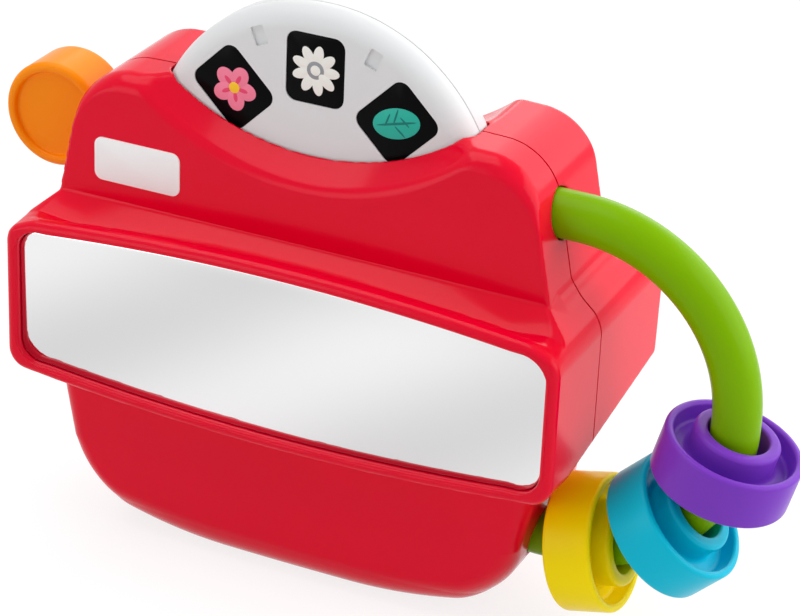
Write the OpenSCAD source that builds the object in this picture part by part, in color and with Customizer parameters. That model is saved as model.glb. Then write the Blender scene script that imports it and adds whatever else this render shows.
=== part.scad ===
// Toy picture viewer: a hollow two-part body with a front mirror, a turning picture disc,
// a sprung side lever, two eyepieces and a bead loop. Millimetres, +Z up, front towards -Y.
// The origin lies on the base, on the parting plane between the front and rear shells.

/* [Body] */
// Width of the wide band that carries the mirror
band_w = 138; // [130:0.5:150]
// Height of the band's underside at its front
band_bottom_z = 43.4; // [42.5:0.1:46]
// How far the band's underside rises towards the rear
band_rise = 8.2; // [6:0.1:13]
// Height of the crease along the band's widest edge
band_edge_z = 77.6; // [75:0.2:80]
// Distance from the parting plane to the band's rear face
band_rear = 39.5; // [34:0.5:44]
// Width of the upper body at its foot
upper_w = 122.8; // [118:0.2:128]
// Height of the crease at the foot of the upper body
upper_foot_z = 84.3; // [82:0.1:87]
// Width of the upper body where its sides meet the shoulder rounds
shoulder_w = 113.6; // [110:0.2:117]
// Radius of the shoulder rounds
shoulder_r = 10.3; // [8:0.1:13]
// Height of the shoulders above the disc's centre
shoulder_rise = 20.3; // [18:0.1:24]
// Distance from the parting plane to the upper body's front face
upper_front = 13; // [12:0.1:15]
// Distance from the parting plane to the upper body's rear face
upper_rear = 22; // [20:0.5:26]
// Thickness of the moulded walls
wall = 2.4; // [2:0.1:3]

/* [Belly] */
// Width of the belly at its top, inside the band
belly_top_w = 129.6; // [124:0.2:132]
// Width of the belly above its lower corners
belly_low_w = 113.4; // [108:0.2:114]
// Radius of the belly's lower corners
belly_corner_r = 12; // [9:0.5:15]
// Width of the flat that the belly stands on
belly_foot_w = 32; // [26:0.5:40]
// Radius of the belly's underside beside that flat
belly_sweep_r = 127; // [110:1:160]
// Distance from the parting plane to the belly's front face
belly_front = 18; // [16:0.2:20]
// How far the belly's front face is bowed
belly_bow = 2.4; // [1:0.1:4]
// Distance from the parting plane to the belly's rear face
belly_rear = 28; // [25:0.5:32]
// Radius of the belly's front lower edge
belly_front_r = 11; // [7:0.5:14]
// Radius of the belly's rear lower edge
belly_rear_r = 6; // [4:0.5:10]
// Radius of the belly's rear corners, seen from above
belly_plan_r = 18; // [12:0.5:20]

/* [Mirror] */
// Distance from the parting plane to the front of the mirror frame
frame_front = 25; // [23:0.2:28]
// Height of the frame's upper corners
frame_top_z = 79.9; // [76:0.1:81]
// Height of the frame's lower corners
frame_low_z = 42.3; // [39:0.1:45]
// How far the frame's long edges are bowed
frame_bow = 4.2; // [2:0.1:6]
// Width of the rim around the mirror
rim_w = 3; // [2.8:0.1:4]
// Depth of the mirror's face behind the rim
rim_depth = 3.4; // [2.4:0.1:4]
// Thickness of the mirror sheet
mirror_t = 1.6; // [1:0.1:2.4]
// Overlap of the mirror sheet behind the rim
mirror_lap = 1; // [0.7:0.1:1.2]
// Thickness of the board behind the mirror
backing_t = 2; // [1:0.1:3]

/* [Disc] */
// Radius of the picture disc
disc_r = 42.3; // [40:0.1:43]
// Height of the disc's centre
disc_z = 96.1; // [94:0.1:98]
// Thickness of the disc's front half
disc_front_t = 6; // [5.5:0.1:6.8]
// Thickness of the disc's rear half
disc_rear_t = 7.5; // [6.5:0.1:8]
// Radius of the disc's rounded edges
disc_edge_r = 4.8; // [3:0.1:5]
// Wall thickness of the disc halves
disc_wall = 2; // [1.8:0.1:3]
// Number of pictures on each face
picture_count = 8; // [6:1:9]
// Width of a picture card
picture_w = 14.3; // [12:0.1:15]
// Height of a picture card
picture_h = 16.5; // [14:0.1:17]
// Corner radius of a picture card
picture_corner_r = 2.6; // [1.5:0.1:4]
// Thickness of a picture card
picture_t = 0.6; // [0.4:0.05:0.8]
// Distance from the disc's centre to a picture's middle
picture_orbit = 28.5; // [27:0.1:29]
// Distance from the disc's centre to the index notches
notch_orbit = 36.5; // [35.5:0.1:37]
// Radius of the disc's axle
axle_r = 3; // [2.5:0.1:3.5]
// Radius of the disc's hub
hub_r = 6; // [5:0.1:6.5]
// Outer radius of the ratchet wheel
ratchet_r = 9.5; // [8.5:0.1:9.7]

/* [Lever] */
// Distance from the middle of the body to the lever knob's centre
knob_x = 68.3; // [67.5:0.1:71]
// Height of the lever's pivot above the knob's centre
knob_drop = 7.8; // [6.5:0.1:9]
// Radius of the lever knob
knob_r = 12.7; // [11:0.1:13]
// Distance from the parting plane forward to the knob's front
knob_front = 4.1; // [3:0.1:5]
// Thickness of the knob
knob_t = 13.5; // [11:0.1:14]
// Width of the raised rim around the knob's faces
knob_rim = 2.4; // [1.5:0.1:4]
// Depth of the dish in the knob's faces
knob_dish = 1.4; // [0.6:0.1:2]
// Distance from the middle of the body to the lever's pivot
pivot_x = 47.5; // [47:0.1:48.5]
// Height of the lever's pivot above the disc's centre
pivot_rise = 9.9; // [9:0.1:11]
// Radius of the lever's pivot pin
pivot_r = 2; // [1.5:0.1:2.3]
// Angle through which the lever is pressed
lever_travel = 12; // [6:0.5:13]
// Wire radius of the lever's return spring
spring_wire_r = 0.45; // [0.3:0.05:0.5]

/* [Handle] */
// Radius of the handle tube
tube_r = 5.5; // [5:0.1:5.8]
// Wall thickness of the handle tube
tube_wall = 1.8; // [1.2:0.1:2.5]
// Bend radius of the handle's two corners
bend_r = 39.2; // [38.5:0.1:40]
// Distance from the middle of the body to the bends' centres
bend_x = 62.5; // [62:0.1:64]
// Height of the lower bend's centre
bend_low_z = 60.2; // [59.8:0.1:60.8]
// Height of the upper bend's centre
bend_high_z = 62; // [61:0.1:62.5]
// Radius of the collars that keep the handle in the body
collar_r = 7.3; // [6.5:0.1:8]

/* [Beads] */
// Outer radius of a bead
bead_r = 16; // [15:0.1:16.3]
// Length of a bead's outer ring
bead_ring_l = 11.5; // [10:0.1:12]
// Length of a bead's hub
bead_hub_l = 16.4; // [15:0.1:16.6]
// Outer radius of a bead's hub
bead_hub_r = 10; // [9.2:0.1:11]
// Bore radius of a bead
bead_bore_r = 7.05; // [7:0.05:7.5]
// Wall thickness of a bead's outer ring
bead_wall = 2; // [1.5:0.1:3]
// Angle of the upper bead on the handle
bead_high_angle = -15; // [-15.5:0.5:0]
// Angle of the middle bead on the handle
bead_mid_angle = -46; // [-46:0.5:-45]
// Angle of the lower bead on the handle
bead_low_angle = -76.5; // [-77:0.5:-76.5]

/* [Eyepieces] */
// Distance between the two eyepieces' centres
eye_spacing = 40.4; // [38:0.2:46]
// Height of the eyepieces' centres
eye_z = 75.9; // [72:0.1:78]
// Distance from the parting plane to the eyepiece housing's rear face
eye_rear = 44; // [42:0.5:50]
// Radius of a lens
lens_r = 11; // [9:0.1:12]
// Thickness of a lens at its edge
lens_edge_t = 2; // [1.5:0.1:2.5]
// Crown of a lens
lens_crown = 1.6; // [0.8:0.1:2]
// Outer radius of an eyecup
eyecup_r = 16; // [14.5:0.1:18]
// Height of an eyecup
eyecup_h = 7; // [4:0.5:10]

/* [Label] */
// Width of the blank label
label_w = 22; // [14:0.5:26]
// Height of the blank label
label_h = 10.5; // [8:0.5:12]
// Thickness of the blank label
label_t = 0.4; // [0.2:0.05:0.6]
// Corner radius of the blank label
label_corner_r = 2; // [1:0.1:4]
// Distance from the middle of the body to the label's centre
label_x = 40.7; // [38:0.1:42]
// Height of the label's centre above the upper body's foot
label_rise = 10.7; // [8:0.1:13]

/* [Fasteners] */
// Radius of a screw's shank
screw_r = 1.5; // [1.2:0.05:1.8]
// Radius of a screw's head
screw_head_r = 2.8; // [2.5:0.1:3]
// Length of a screw's shank
screw_l = 14; // [10:0.5:15]

/* [Clearances] */
// Clearance of a shaft in the bore that turns on it
run_gap = 0.05; // [0.02:0.01:0.09]
// Clearance of a piece that is fixed in its seat
seat_gap = 0.05; // [0.02:0.01:0.1]
// Clearance beside pieces that turn
side_gap = 0.4; // [0.3:0.05:0.6]
// Clearance around the lever knob in its well
well_gap = 0.6; // [0.4:0.05:1]
// Clearance around the edge of the disc in its slot
slot_gap = 0.9; // [0.6:0.05:1.2]

/* [Hidden] */
$fn = 64;
far = 200;
cut = 1;
arc_steps = 8;
bow_steps = 12;

RED = [0.86, 0.10, 0.20];
ORANGE = [0.98, 0.60, 0.08];
GREEN = [0.51, 0.75, 0.02];
PURPLE = [0.45, 0.22, 0.72];
TEAL = [0.00, 0.68, 0.78];
YELLOW = [0.98, 0.80, 0.02];
WHITE = [0.93, 0.93, 0.93];
STEEL = [0.70, 0.71, 0.73];

// Places worked out from the sizes above
shoulder_z = disc_z + shoulder_rise;
pivot_z = disc_z + pivot_rise;
knob_z = pivot_z - knob_drop;
core_z = (band_bottom_z + band_edge_z) / 2;
belly_top_z = band_bottom_z + band_rise + wall + cut;
belly_corner_x = belly_low_w / 2 - belly_corner_r;
belly_sweep_angle = asin((belly_corner_x - belly_foot_w / 2) / (belly_sweep_r - belly_corner_r));
belly_corner_z = belly_sweep_r - (belly_sweep_r - belly_corner_r) * cos(belly_sweep_angle);
crease_mitre = 0.4;
frame_lip = 3;
ledge_run = frame_front - upper_front - frame_lip;
ledge_front_z = frame_top_z + 1.8;
mirror_y = -frame_front + rim_depth;
backing_y = mirror_y + mirror_t;
nub_y = backing_y + backing_t + seat_gap;
disc_front_y = -disc_front_t;
disc_rear_y = disc_rear_t;
slot_front_y = disc_front_y - side_gap;
slot_rear_y = disc_rear_y + side_gap;
scoop_fall = 5.2;
scoop_above = 43.5;
scoop_z = shoulder_z + scoop_above;
scoop_lip_rise = 8.3;
scoop_lip_z = disc_z + scoop_lip_rise;
scoop_low_z = scoop_lip_z - scoop_fall;
scoop_rear_lip_z = disc_z + ratchet_r + wall + 2.6;
scoop_rear_fall = 7.2;
scoop_rear_low_z = scoop_rear_lip_z - scoop_rear_fall;
notch_w = 3.3;
notch_h = 4.5;
notch_depth = 1.1;
picture_sink = 0.2;

hub_front_y = -knob_front;
hub_rear_y = disc_rear_y + 1;
arm_t = 2.9;
arm_rear_y = hub_rear_y + arm_t;
ratchet_t = arm_t + 0.7;
tooth_h = 2.4;
tooth_lead = 0.12;
ratchet_root_r = ratchet_r - tooth_h;
lever_hub_r = pivot_r + 2.2;
lever_neck_h = 8;
lever_neck_t = 7;
lever_neck_y = hub_front_y + (knob_t - lever_neck_t) / 2;
pivot = [-pivot_x, pivot_z];
knob_offset = [pivot_x - knob_x, knob_z - pivot_z];
pawl_tip_r = 1.2;
pawl_tip_gap = 0.45;
pawl_reach = ratchet_r + pawl_tip_r + pawl_tip_gap;
pawl_aim = atan2(disc_z - pivot_z, pivot_x);
pawl_mid_l = norm([pivot_x, disc_z - pivot_z]) - pawl_reach;
pawl_rest_angle = pawl_aim - lever_travel / 2;

handle_high_z = bend_high_z + bend_r;
handle_low_z = bend_low_z - bend_r;
handle_high_end = disc_r + 3.5;
handle_low_end = 41;
handle_collar_in = 2.6;
handle_collar_l = 2.5;
seat_r = collar_r + 1.8;

orbit_in = 1;
orbit_x = bend_x - orbit_in;
orbit_z = (bend_low_z + bend_high_z) / 2;
orbit_r = bend_r + orbit_in + 0.15;

lens_stop_t = 1.6;
lens_rear_y = eye_rear - lens_stop_t;
eye_hole_r = lens_r - 1.4;
barrel_r = lens_r + 2.2;
barrel_l = 9;
eye_block_r = 14;
eye_block_margin = 4;
eye_block_w = eye_spacing + 2 * (barrel_r + wall + eye_block_margin);
eye_block_h = 2 * (barrel_r + wall + 0.6);

boss_r = 4.3;
pin_boss_r = 3.6;
axle_boss_r = axle_r + 1.5;
axle_front_y = -upper_front + wall;
axle_rear_y = upper_rear - wall - 3;
pin_front_y = -upper_front + wall;
pin_rear_y = upper_rear - wall - 1;
screw_seat_y = 6;
screw_head_t = 2.2;
screw_well_r = screw_head_r + 0.6;
boss_front_y = nub_y + 3;
side_screw_in = 4;
side_screw_x = band_w / 2 - wall - side_screw_in;
low_screw_x = handle_low_end - boss_r - 0.7;
low_screw_z = belly_front_r + 1;
high_screw_x = disc_r + slot_gap + boss_r + 1.5;
lever_screw_drop = 17.8;
lever_screw_z = pivot_z - lever_screw_drop;
tube_screw_z = handle_high_z - seat_r - boss_r + 0.4;
screw_spots = [
    [-side_screw_x, core_z],
    [side_screw_x, core_z],
    [-low_screw_x, low_screw_z],
    [low_screw_x, low_screw_z],
    [-high_screw_x, lever_screw_z],
    [high_screw_x, tube_screw_z]
];

spring_coil_r = pin_boss_r + 1.2;
spring_turns = 3;
spring_pitch = 1.3;
spring_steps = 16;
spring_sides = 8;
spring_y = arm_rear_y + 1;
spring_fixed_l = 9;
spring_free_l = 15;
spring_end_angle = pawl_rest_angle + 90;
spring_start_angle = 180 + 360 * spring_turns;
spring_peg_r = 1.2;
spring_peg_out = 13;
spring_peg_up = spring_coil_r - spring_wire_r - spring_peg_r - 0.1;
spring_post_r = 1.2;
spring_post = [
    pivot[0] - spring_coil_r + spring_wire_r + spring_post_r + seat_gap,
    pivot[1] - spring_fixed_l + spring_post_r
];
spring_turn_angle = spring_start_angle - spring_end_angle;
spring_count = round(spring_steps * spring_turn_angle / 360);
spring_rear_y = spring_y + spring_pitch * spring_turn_angle / 360;

click_t = 0.8;
click_gap = 0.4;
click_l = 18;
click_foot = 5;
click_tip = [ratchet_r + click_gap, disc_z];
click_root = [click_tip[0] + click_l, disc_z];

// Points along a circular arc
function arc(cx, cy, r, a0, a1) =
    [for (k = [0:arc_steps]) let (a = a0 + (a1 - a0) * k / arc_steps) [cx + r * cos(a), cy + r * sin(a)]];

// A half outline joined to its mirror image
function both_sides(right) =
    concat(right, [for (k = [len(right) - 1:-1:0]) [-right[k][0], right[k][1]]]);

// The upper body's outline, inset by i
function upper_outline(i) =
    both_sides(concat(
        [[upper_w / 2 - i, core_z], [upper_w / 2 - i, upper_foot_z]],
        arc(shoulder_w / 2 - shoulder_r, shoulder_z - shoulder_r, shoulder_r - i, 0, 90)
    ));

// The wide band's outline, inset by i, with its two creases
function band_outline(i) =
    both_sides([
        [band_w / 2 - i, band_bottom_z + i],
        [band_w / 2 - i, band_edge_z - crease_mitre * i],
        [upper_w / 2 - crease_mitre * i, upper_foot_z - i]
    ]);

// The band's side view, inset by i, with its rising underside
function band_side(i) = [
    [-upper_front + i, band_bottom_z + i],
    [band_rear - i, band_bottom_z + band_rise + i],
    [band_rear - i, far],
    [-upper_front + i, far]
];

// The mirror frame's bowed outline, inset by i
function frame_half_w(i) = band_w / 2 - i;
function frame_bulge(x, i) = frame_bow * (1 - pow(x / frame_half_w(i), 2));
function frame_outline(i) =
    let (w = frame_half_w(i), xs = [for (k = [-bow_steps:bow_steps]) w * k / bow_steps])
    concat(
        [for (x = xs) [x, frame_low_z + i - frame_bulge(x, i)]],
        [for (x = xs) [-x, frame_top_z - i + frame_bulge(x, i)]]
    );

// The belly's front view, side view and plan, inset by i
function belly_front_outline(i) =
    both_sides(concat(
        arc(belly_foot_w / 2, belly_sweep_r, belly_sweep_r - i, -90, belly_sweep_angle - 90),
        arc(belly_corner_x, belly_corner_z, belly_corner_r - i, belly_sweep_angle - 90, 0),
        [[belly_top_w / 2 - i, belly_top_z]]
    ));
function belly_side_outline(i) =
    concat(
        [[-belly_front + i, core_z]],
        arc(belly_front_r - belly_front, belly_front_r, belly_front_r - i, 180, 270),
        arc(belly_rear - belly_rear_r, belly_rear_r, belly_rear_r - i, 270, 360),
        [[belly_rear - i, core_z]]
    );
function belly_plan(i) =
    concat(
        [for (k = [-bow_steps:bow_steps])
            let (x = belly_top_w / 2 * k / bow_steps)
            [x, -belly_front + i + belly_bow * pow(2 * x / belly_top_w, 2)]],
        arc(belly_top_w / 2 - belly_plan_r, belly_rear - belly_plan_r, belly_plan_r - i, 0, 90),
        arc(belly_plan_r - belly_top_w / 2, belly_rear - belly_plan_r, belly_plan_r - i, 90, 180)
    );

// Extrude a front view from y0 back to y1
module along_y(y0, y1) {
    translate([0, y1, 0])
    rotate([90, 0, 0])
    linear_extrude(y1 - y0)
    children();
}

// Extrude a side view across the width w
module along_x(w) {
    translate([-w / 2, 0, 0])
    rotate([90, 0, 90])
    linear_extrude(w)
    children();
}

// A round bar parallel to Y at a point of the front view
module bar_y(p, r, y0, y1) {
    translate([p[0], y0, p[1]])
    rotate([-90, 0, 0])
    cylinder(h = y1 - y0, r = r);
}

// A round bar parallel to X at height z
module bar_x(x0, x1, z, r) {
    translate([x0, 0, z])
    rotate([0, 90, 0])
    cylinder(h = x1 - x0, r = r);
}

// A rectangle with true round corners, centred
module rounded_rect(w, h, r) {
    square([w - 2 * r, h], center = true);
    square([w, h - 2 * r], center = true);
    for (x = [-1, 1], y = [-1, 1])
        translate([x * (w / 2 - r), y * (h / 2 - r)])
        circle(r);
}

// A point of the lever's outline, turned about the pivot by angle a
function turned(p, a) =
    [pivot[0] + p[0] * cos(a) - p[1] * sin(a), pivot[1] + p[0] * sin(a) + p[1] * cos(a)];

// The dished cuts in the shoulders in front of and behind the disc
module scoops(i) {
    front_depth = upper_front + slot_front_y;
    rear_depth = upper_rear - slot_rear_y;
    translate([0, -upper_front, scoop_z])
    rotate([-90, 0, 0])
    cylinder(h = front_depth, r1 = scoop_z - scoop_low_z + i, r2 = scoop_z - scoop_lip_z + i);
    translate([0, slot_rear_y, scoop_z])
    rotate([-90, 0, 0])
    cylinder(h = rear_depth, r1 = scoop_z - scoop_rear_lip_z + i, r2 = scoop_z - scoop_rear_low_z + i);
}

// The sloping ledge between the upper body and the mirror frame
module ledge(i) {
    intersection() {
        along_y(-frame_front + frame_lip, -upper_front + wall + cut) polygon(band_outline(i));
        along_x(band_w) polygon([
            [-upper_front + wall + cut, upper_foot_z - i],
            [-upper_front, upper_foot_z - i],
            [-upper_front - ledge_run, ledge_front_z - i],
            [-upper_front - ledge_run, core_z],
            [-upper_front + wall + cut, core_z]
        ]);
    }
}

// The wide band behind the ledge
module band(i) {
    intersection() {
        along_y(-upper_front + i, band_rear - i) polygon(band_outline(i));
        along_x(band_w) polygon(band_side(i));
    }
}

// The belly below the band
module belly(i) {
    intersection() {
        along_y(-belly_front, belly_rear) polygon(belly_front_outline(i));
        along_x(band_w) polygon(belly_side_outline(i));
        linear_extrude(core_z) polygon(belly_plan(i));
    }
}

// The housing around the eyepieces
module eye_block(i) {
    along_y(upper_rear - wall - cut, eye_rear - i)
    translate([0, eye_z])
    rounded_rect(eye_block_w - 2 * i, eye_block_h - 2 * i, eye_block_r - i);
}

// The whole body as one form, inset by i
module body_form(i, mirror_end) {
    difference() {
        union() {
            along_y(-upper_front + i, upper_rear - i) polygon(upper_outline(i));
            band(i);
            along_y(mirror_end, -upper_front + wall + cut) polygon(frame_outline(i));
            ledge(i);
            belly(i);
            eye_block(i);
        }
        scoops(i);
    }
}

module outer_form() {
    body_form(0, -frame_front);
}

module inner_form() {
    body_form(wall, backing_y);
}

// The knob's place at rest, halfway and fully pressed
module lever_well(gap) {
    for (a = [0, lever_travel / 2, lever_travel])
        bar_y(turned(knob_offset, a), knob_r + gap, hub_front_y - gap, hub_front_y + knob_t + gap);
}

// The space that the lever's neck sweeps over a travel, with a gap around it
module neck_sweep(travel, gap) {
    side = (lever_neck_h / 2 + gap) * [-knob_offset[1], knob_offset[0]] / norm(knob_offset);
    along_y(lever_neck_y - gap, lever_neck_y + lever_neck_t + gap)
    polygon([
        turned(-side, 0),
        turned(knob_offset - side, 0),
        turned(knob_offset + side, travel),
        turned(side, travel)
    ]);
}

// Seats that hold the handle's ends at the parting plane
module handle_seats() {
    bar_x(handle_high_end, upper_w / 2, handle_high_z, seat_r);
    bar_x(handle_low_end, belly_top_w / 2, handle_low_z, seat_r);
}

module handle_room() {
    bar_x(handle_high_end - cut, far, handle_high_z, tube_r + seat_gap);
    bar_x(handle_low_end - cut, far, handle_low_z, tube_r + seat_gap);
    for (end = [[handle_high_end, handle_high_z], [handle_low_end, handle_low_z]])
        bar_x(
            end[0] + handle_collar_in - seat_gap,
            end[0] + handle_collar_in + handle_collar_l + seat_gap,
            end[1], collar_r + seat_gap
        );
}

// One half of the body, before its own bosses and cuts
module half_wall(y0, y1) {
    intersection() {
        difference() {
            union() {
                difference() {
                    outer_form();
                    inner_form();
                }
                intersection() {
                    outer_form();
                    union() {
                        lever_well(well_gap + wall);
                        handle_seats();
                    }
                }
            }
            along_y(slot_front_y, slot_rear_y) translate([0, disc_z]) circle(disc_r + slot_gap);
            lever_well(well_gap);
            neck_sweep(lever_travel, well_gap);
            handle_room();
        }
        translate([-far, y0, -far])
        cube([2 * far, y1 - y0, 2 * far]);
    }
}

// Small catches behind the mirror's backing board
module mirror_nubs() {
    nub = 2.4;
    nub_x = band_w / 2 - wall - 0.6;
    nub_spread = 11;
    for (x = [-1, 1], k = [-1, 1])
        translate([x * nub_x - nub / 2, nub_y, core_z + k * nub_spread - nub])
        cube([nub, nub, 2 * nub]);
}

module front_shell() {
    color(RED)
    difference() {
        union() {
            half_wall(-far, 0);
            intersection() {
                outer_form();
                union() {
                    bar_y([0, disc_z], axle_boss_r, -upper_front, slot_front_y);
                    bar_y(pivot, pin_boss_r, -upper_front, hub_front_y - side_gap);
                    for (p = screw_spots)
                        bar_y(p, boss_r, boss_front_y, 0);
                    mirror_nubs();
                }
            }
        }
        along_y(-frame_front - cut, mirror_y + cut) polygon(frame_outline(rim_w));
        along_y(mirror_y, backing_y + cut) polygon(frame_outline(rim_w - mirror_lap));
        bar_y([0, disc_z], axle_r + seat_gap, axle_front_y, 0);
        bar_y(pivot, pivot_r + seat_gap, pin_front_y, 0);
        for (p = screw_spots)
            bar_y(p, screw_r + seat_gap, screw_seat_y - screw_l - cut, cut);
    }
}

// One eyepiece barrel inside the housing
module barrel(x) {
    bar_y([x, eye_z], barrel_r, eye_rear - barrel_l, eye_rear);
}

module barrel_bore(x) {
    bar_y([x, eye_z], lens_r + seat_gap, eye_rear - barrel_l - cut, lens_rear_y);
    bar_y([x, eye_z], eye_hole_r, eye_rear - barrel_l, eye_rear + cut);
}

// The post that holds the click spring, beside the ratchet
module click_post() {
    translate([click_root[0], hub_rear_y - side_gap, click_root[1] - click_foot / 2])
    cube([click_foot, upper_rear - wall - hub_rear_y + side_gap + cut, click_foot]);
}

module rear_shell() {
    color(RED)
    difference() {
        union() {
            half_wall(0, far);
            intersection() {
                outer_form();
                union() {
                    bar_y([0, disc_z], axle_boss_r, disc_rear_y + ratchet_t + side_gap, upper_rear);
                    bar_y(pivot, pin_boss_r, arm_rear_y + side_gap, upper_rear);
                    bar_y(spring_post, spring_post_r, spring_y - cut, upper_rear);
                    click_post();
                    for (p = screw_spots)
                        bar_y(p, boss_r, 0, far);
                    for (x = [-1, 1])
                        barrel(x * eye_spacing / 2);
                }
            }
        }
        along_y(hub_rear_y - side_gap - cut, hub_rear_y + arm_t)
            translate(click_root) square([2 * click_foot, click_t + 2 * seat_gap], center = true);
        bar_y([0, disc_z], axle_r + seat_gap, 0, axle_rear_y);
        bar_y(pivot, pivot_r + seat_gap, 0, pin_rear_y);
        for (p = screw_spots) {
            bar_y(p, screw_r + seat_gap, -cut, screw_seat_y + cut);
            bar_y(p, screw_well_r, screw_seat_y, far);
        }
        for (x = [-1, 1])
            barrel_bore(x * eye_spacing / 2);
    }
}

module mirror_sheet() {
    color(STEEL)
    along_y(mirror_y, backing_y) polygon(frame_outline(rim_w - mirror_lap + seat_gap));
}

module mirror_backing() {
    color(WHITE)
    along_y(backing_y, backing_y + backing_t) polygon(frame_outline(wall + seat_gap));
}

module label_plate() {
    color(WHITE)
    along_y(-upper_front - label_t, -upper_front)
    translate([-label_x, upper_foot_z + label_rise])
    rounded_rect(label_w, label_h, label_corner_r);
}

// A run of the handle: two bends, the straight between them and the two ends
module handle_run(r, x_extra) {
    for (end = [[handle_high_end, handle_high_z], [handle_low_end, handle_low_z]])
        bar_x(end[0] - x_extra, bend_x, end[1], r);
    translate([bend_x + bend_r, 0, bend_low_z])
    cylinder(h = bend_high_z - bend_low_z, r = r);
    for (bend = [[bend_low_z, -90], [bend_high_z, 0]])
        translate([bend_x, 0, bend[0]])
        rotate([90, 0, 0])
        rotate([0, 0, bend[1]])
        rotate_extrude(angle = 90)
        translate([bend_r, 0])
        circle(r);
}

module handle_loop() {
    color(GREEN)
    difference() {
        union() {
            handle_run(tube_r, 0);
            for (end = [[handle_high_end, handle_high_z], [handle_low_end, handle_low_z]])
                bar_x(
                    end[0] + handle_collar_in,
                    end[0] + handle_collar_in + handle_collar_l,
                    end[1], collar_r
                );
        }
        handle_run(tube_r - tube_wall, cut);
    }
}

module disc_axle() {
    color(STEEL)
    bar_y([0, disc_z], axle_r, axle_front_y, axle_rear_y);
}

module lever_pin() {
    color(STEEL)
    bar_y(pivot, pivot_r, pin_front_y, pin_rear_y);
}

// The return spring's wire: a fixed leg, the coil and a free leg along the pawl arm
function coil_point(a, y) =
    [pivot[0] + spring_coil_r * cos(a), y, pivot[1] + spring_coil_r * sin(a)];
function coil_tangent(a) = [sin(a), 0, -cos(a)];
spring_coil = [for (k = [0:spring_count])
    let (t = k / spring_count)
    coil_point(spring_start_angle - t * spring_turn_angle, spring_rear_y + t * (spring_y - spring_rear_y))];
spring_path = concat(
    [spring_coil[0] - spring_fixed_l * coil_tangent(spring_start_angle)],
    spring_coil,
    [spring_coil[spring_count] + spring_free_l * coil_tangent(spring_end_angle)]
);

// A round wire swept along points that lie nearly in one front view
function unit(v) = v / norm(v);
function wire_ring(path, k, r) =
    let (
        n = len(path),
        t = unit(path[min(k + 1, n - 1)] - path[max(k - 1, 0)]),
        u = unit(cross(t, [0, 1, 0])),
        v = cross(u, t)
    )
    [for (s = [0:spring_sides - 1])
        let (a = 360 * s / spring_sides) path[k] + r * cos(a) * u + r * sin(a) * v];
module wire(path, r) {
    n = len(path);
    m = spring_sides;
    points = [for (k = [0:n - 1]) each wire_ring(path, k, r)];
    sides = [for (k = [0:n - 2], s = [0:m - 1])
        let (a = k * m + s, b = k * m + (s + 1) % m)
        each [[a, b, b + m], [a, b + m, a + m]]];
    first_cap = [for (s = [1:m - 2]) [0, s + 1, s]];
    last_cap = [for (s = [1:m - 2]) [(n - 1) * m, (n - 1) * m + s, (n - 1) * m + s + 1]];
    polyhedron(points, concat(sides, first_cap, last_cap));
}

module lever_spring() {
    color(STEEL)
    wire(spring_path, spring_wire_r);
}

// A leaf that clicks over the ratchet's teeth
module click_spring() {
    color(STEEL)
    along_y(hub_rear_y, hub_rear_y + arm_t - seat_gap)
    translate(click_tip)
    translate([0, -click_t / 2])
    square([click_l + click_foot - seat_gap, click_t]);
}

// A plano-convex lens, flat towards the eye
module lens(x) {
    dome_r = (lens_r * lens_r + lens_crown * lens_crown) / (2 * lens_crown);
    half_angle = asin(lens_r / dome_r);
    color([0.85, 0.92, 0.95])
    translate([x, lens_rear_y, eye_z])
    rotate([90, 0, 0])
    rotate_extrude()
    polygon(concat(
        [[0, 0], [lens_r, 0]],
        arc(0, lens_edge_t + lens_crown - dome_r, dome_r, 90 - half_angle, 90)
    ));
}

// A soft ring around an eyepiece, with a spigot that fits its hole
module eyecup(x) {
    spigot_r = eye_hole_r - seat_gap;
    spigot_l = eye_rear - lens_rear_y - seat_gap;
    spigot_t = 1.6;
    lip = 1.6;
    color(ORANGE)
    translate([x, eye_rear, eye_z])
    rotate([-90, 0, 0])
    rotate_extrude()
    polygon([
        [spigot_r - spigot_t, -spigot_l],
        [spigot_r, -spigot_l],
        [spigot_r, 0],
        [eyecup_r, 0],
        [eyecup_r, eyecup_h - lip],
        [eyecup_r - lip, eyecup_h],
        [eyecup_r - 2 * lip, eyecup_h],
        [spigot_r - spigot_t, lip]
    ]);
}

module lens_left() { lens(-eye_spacing / 2); }
module lens_right() { lens(eye_spacing / 2); }
module eyecup_left() { eyecup(-eye_spacing / 2); }
module eyecup_right() { eyecup(eye_spacing / 2); }

module screw() {
    slot_w = 0.8;
    slot_l = 1.4 * screw_head_r;
    difference() {
        union() {
            translate([0, -screw_l, 0]) rotate([-90, 0, 0]) cylinder(h = screw_l, r = screw_r);
            rotate([-90, 0, 0]) cylinder(h = screw_head_t, r = screw_head_r);
        }
        for (a = [0, 90])
            rotate([0, a, 0])
            translate([-slot_l / 2, screw_head_t / 2, -slot_w / 2])
            cube([slot_l, screw_head_t, slot_w]);
    }
}

module shell_screws() {
    color(STEEL)
    for (p = screw_spots)
        translate([p[0], screw_seat_y, p[1]]) screw();
}

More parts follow.
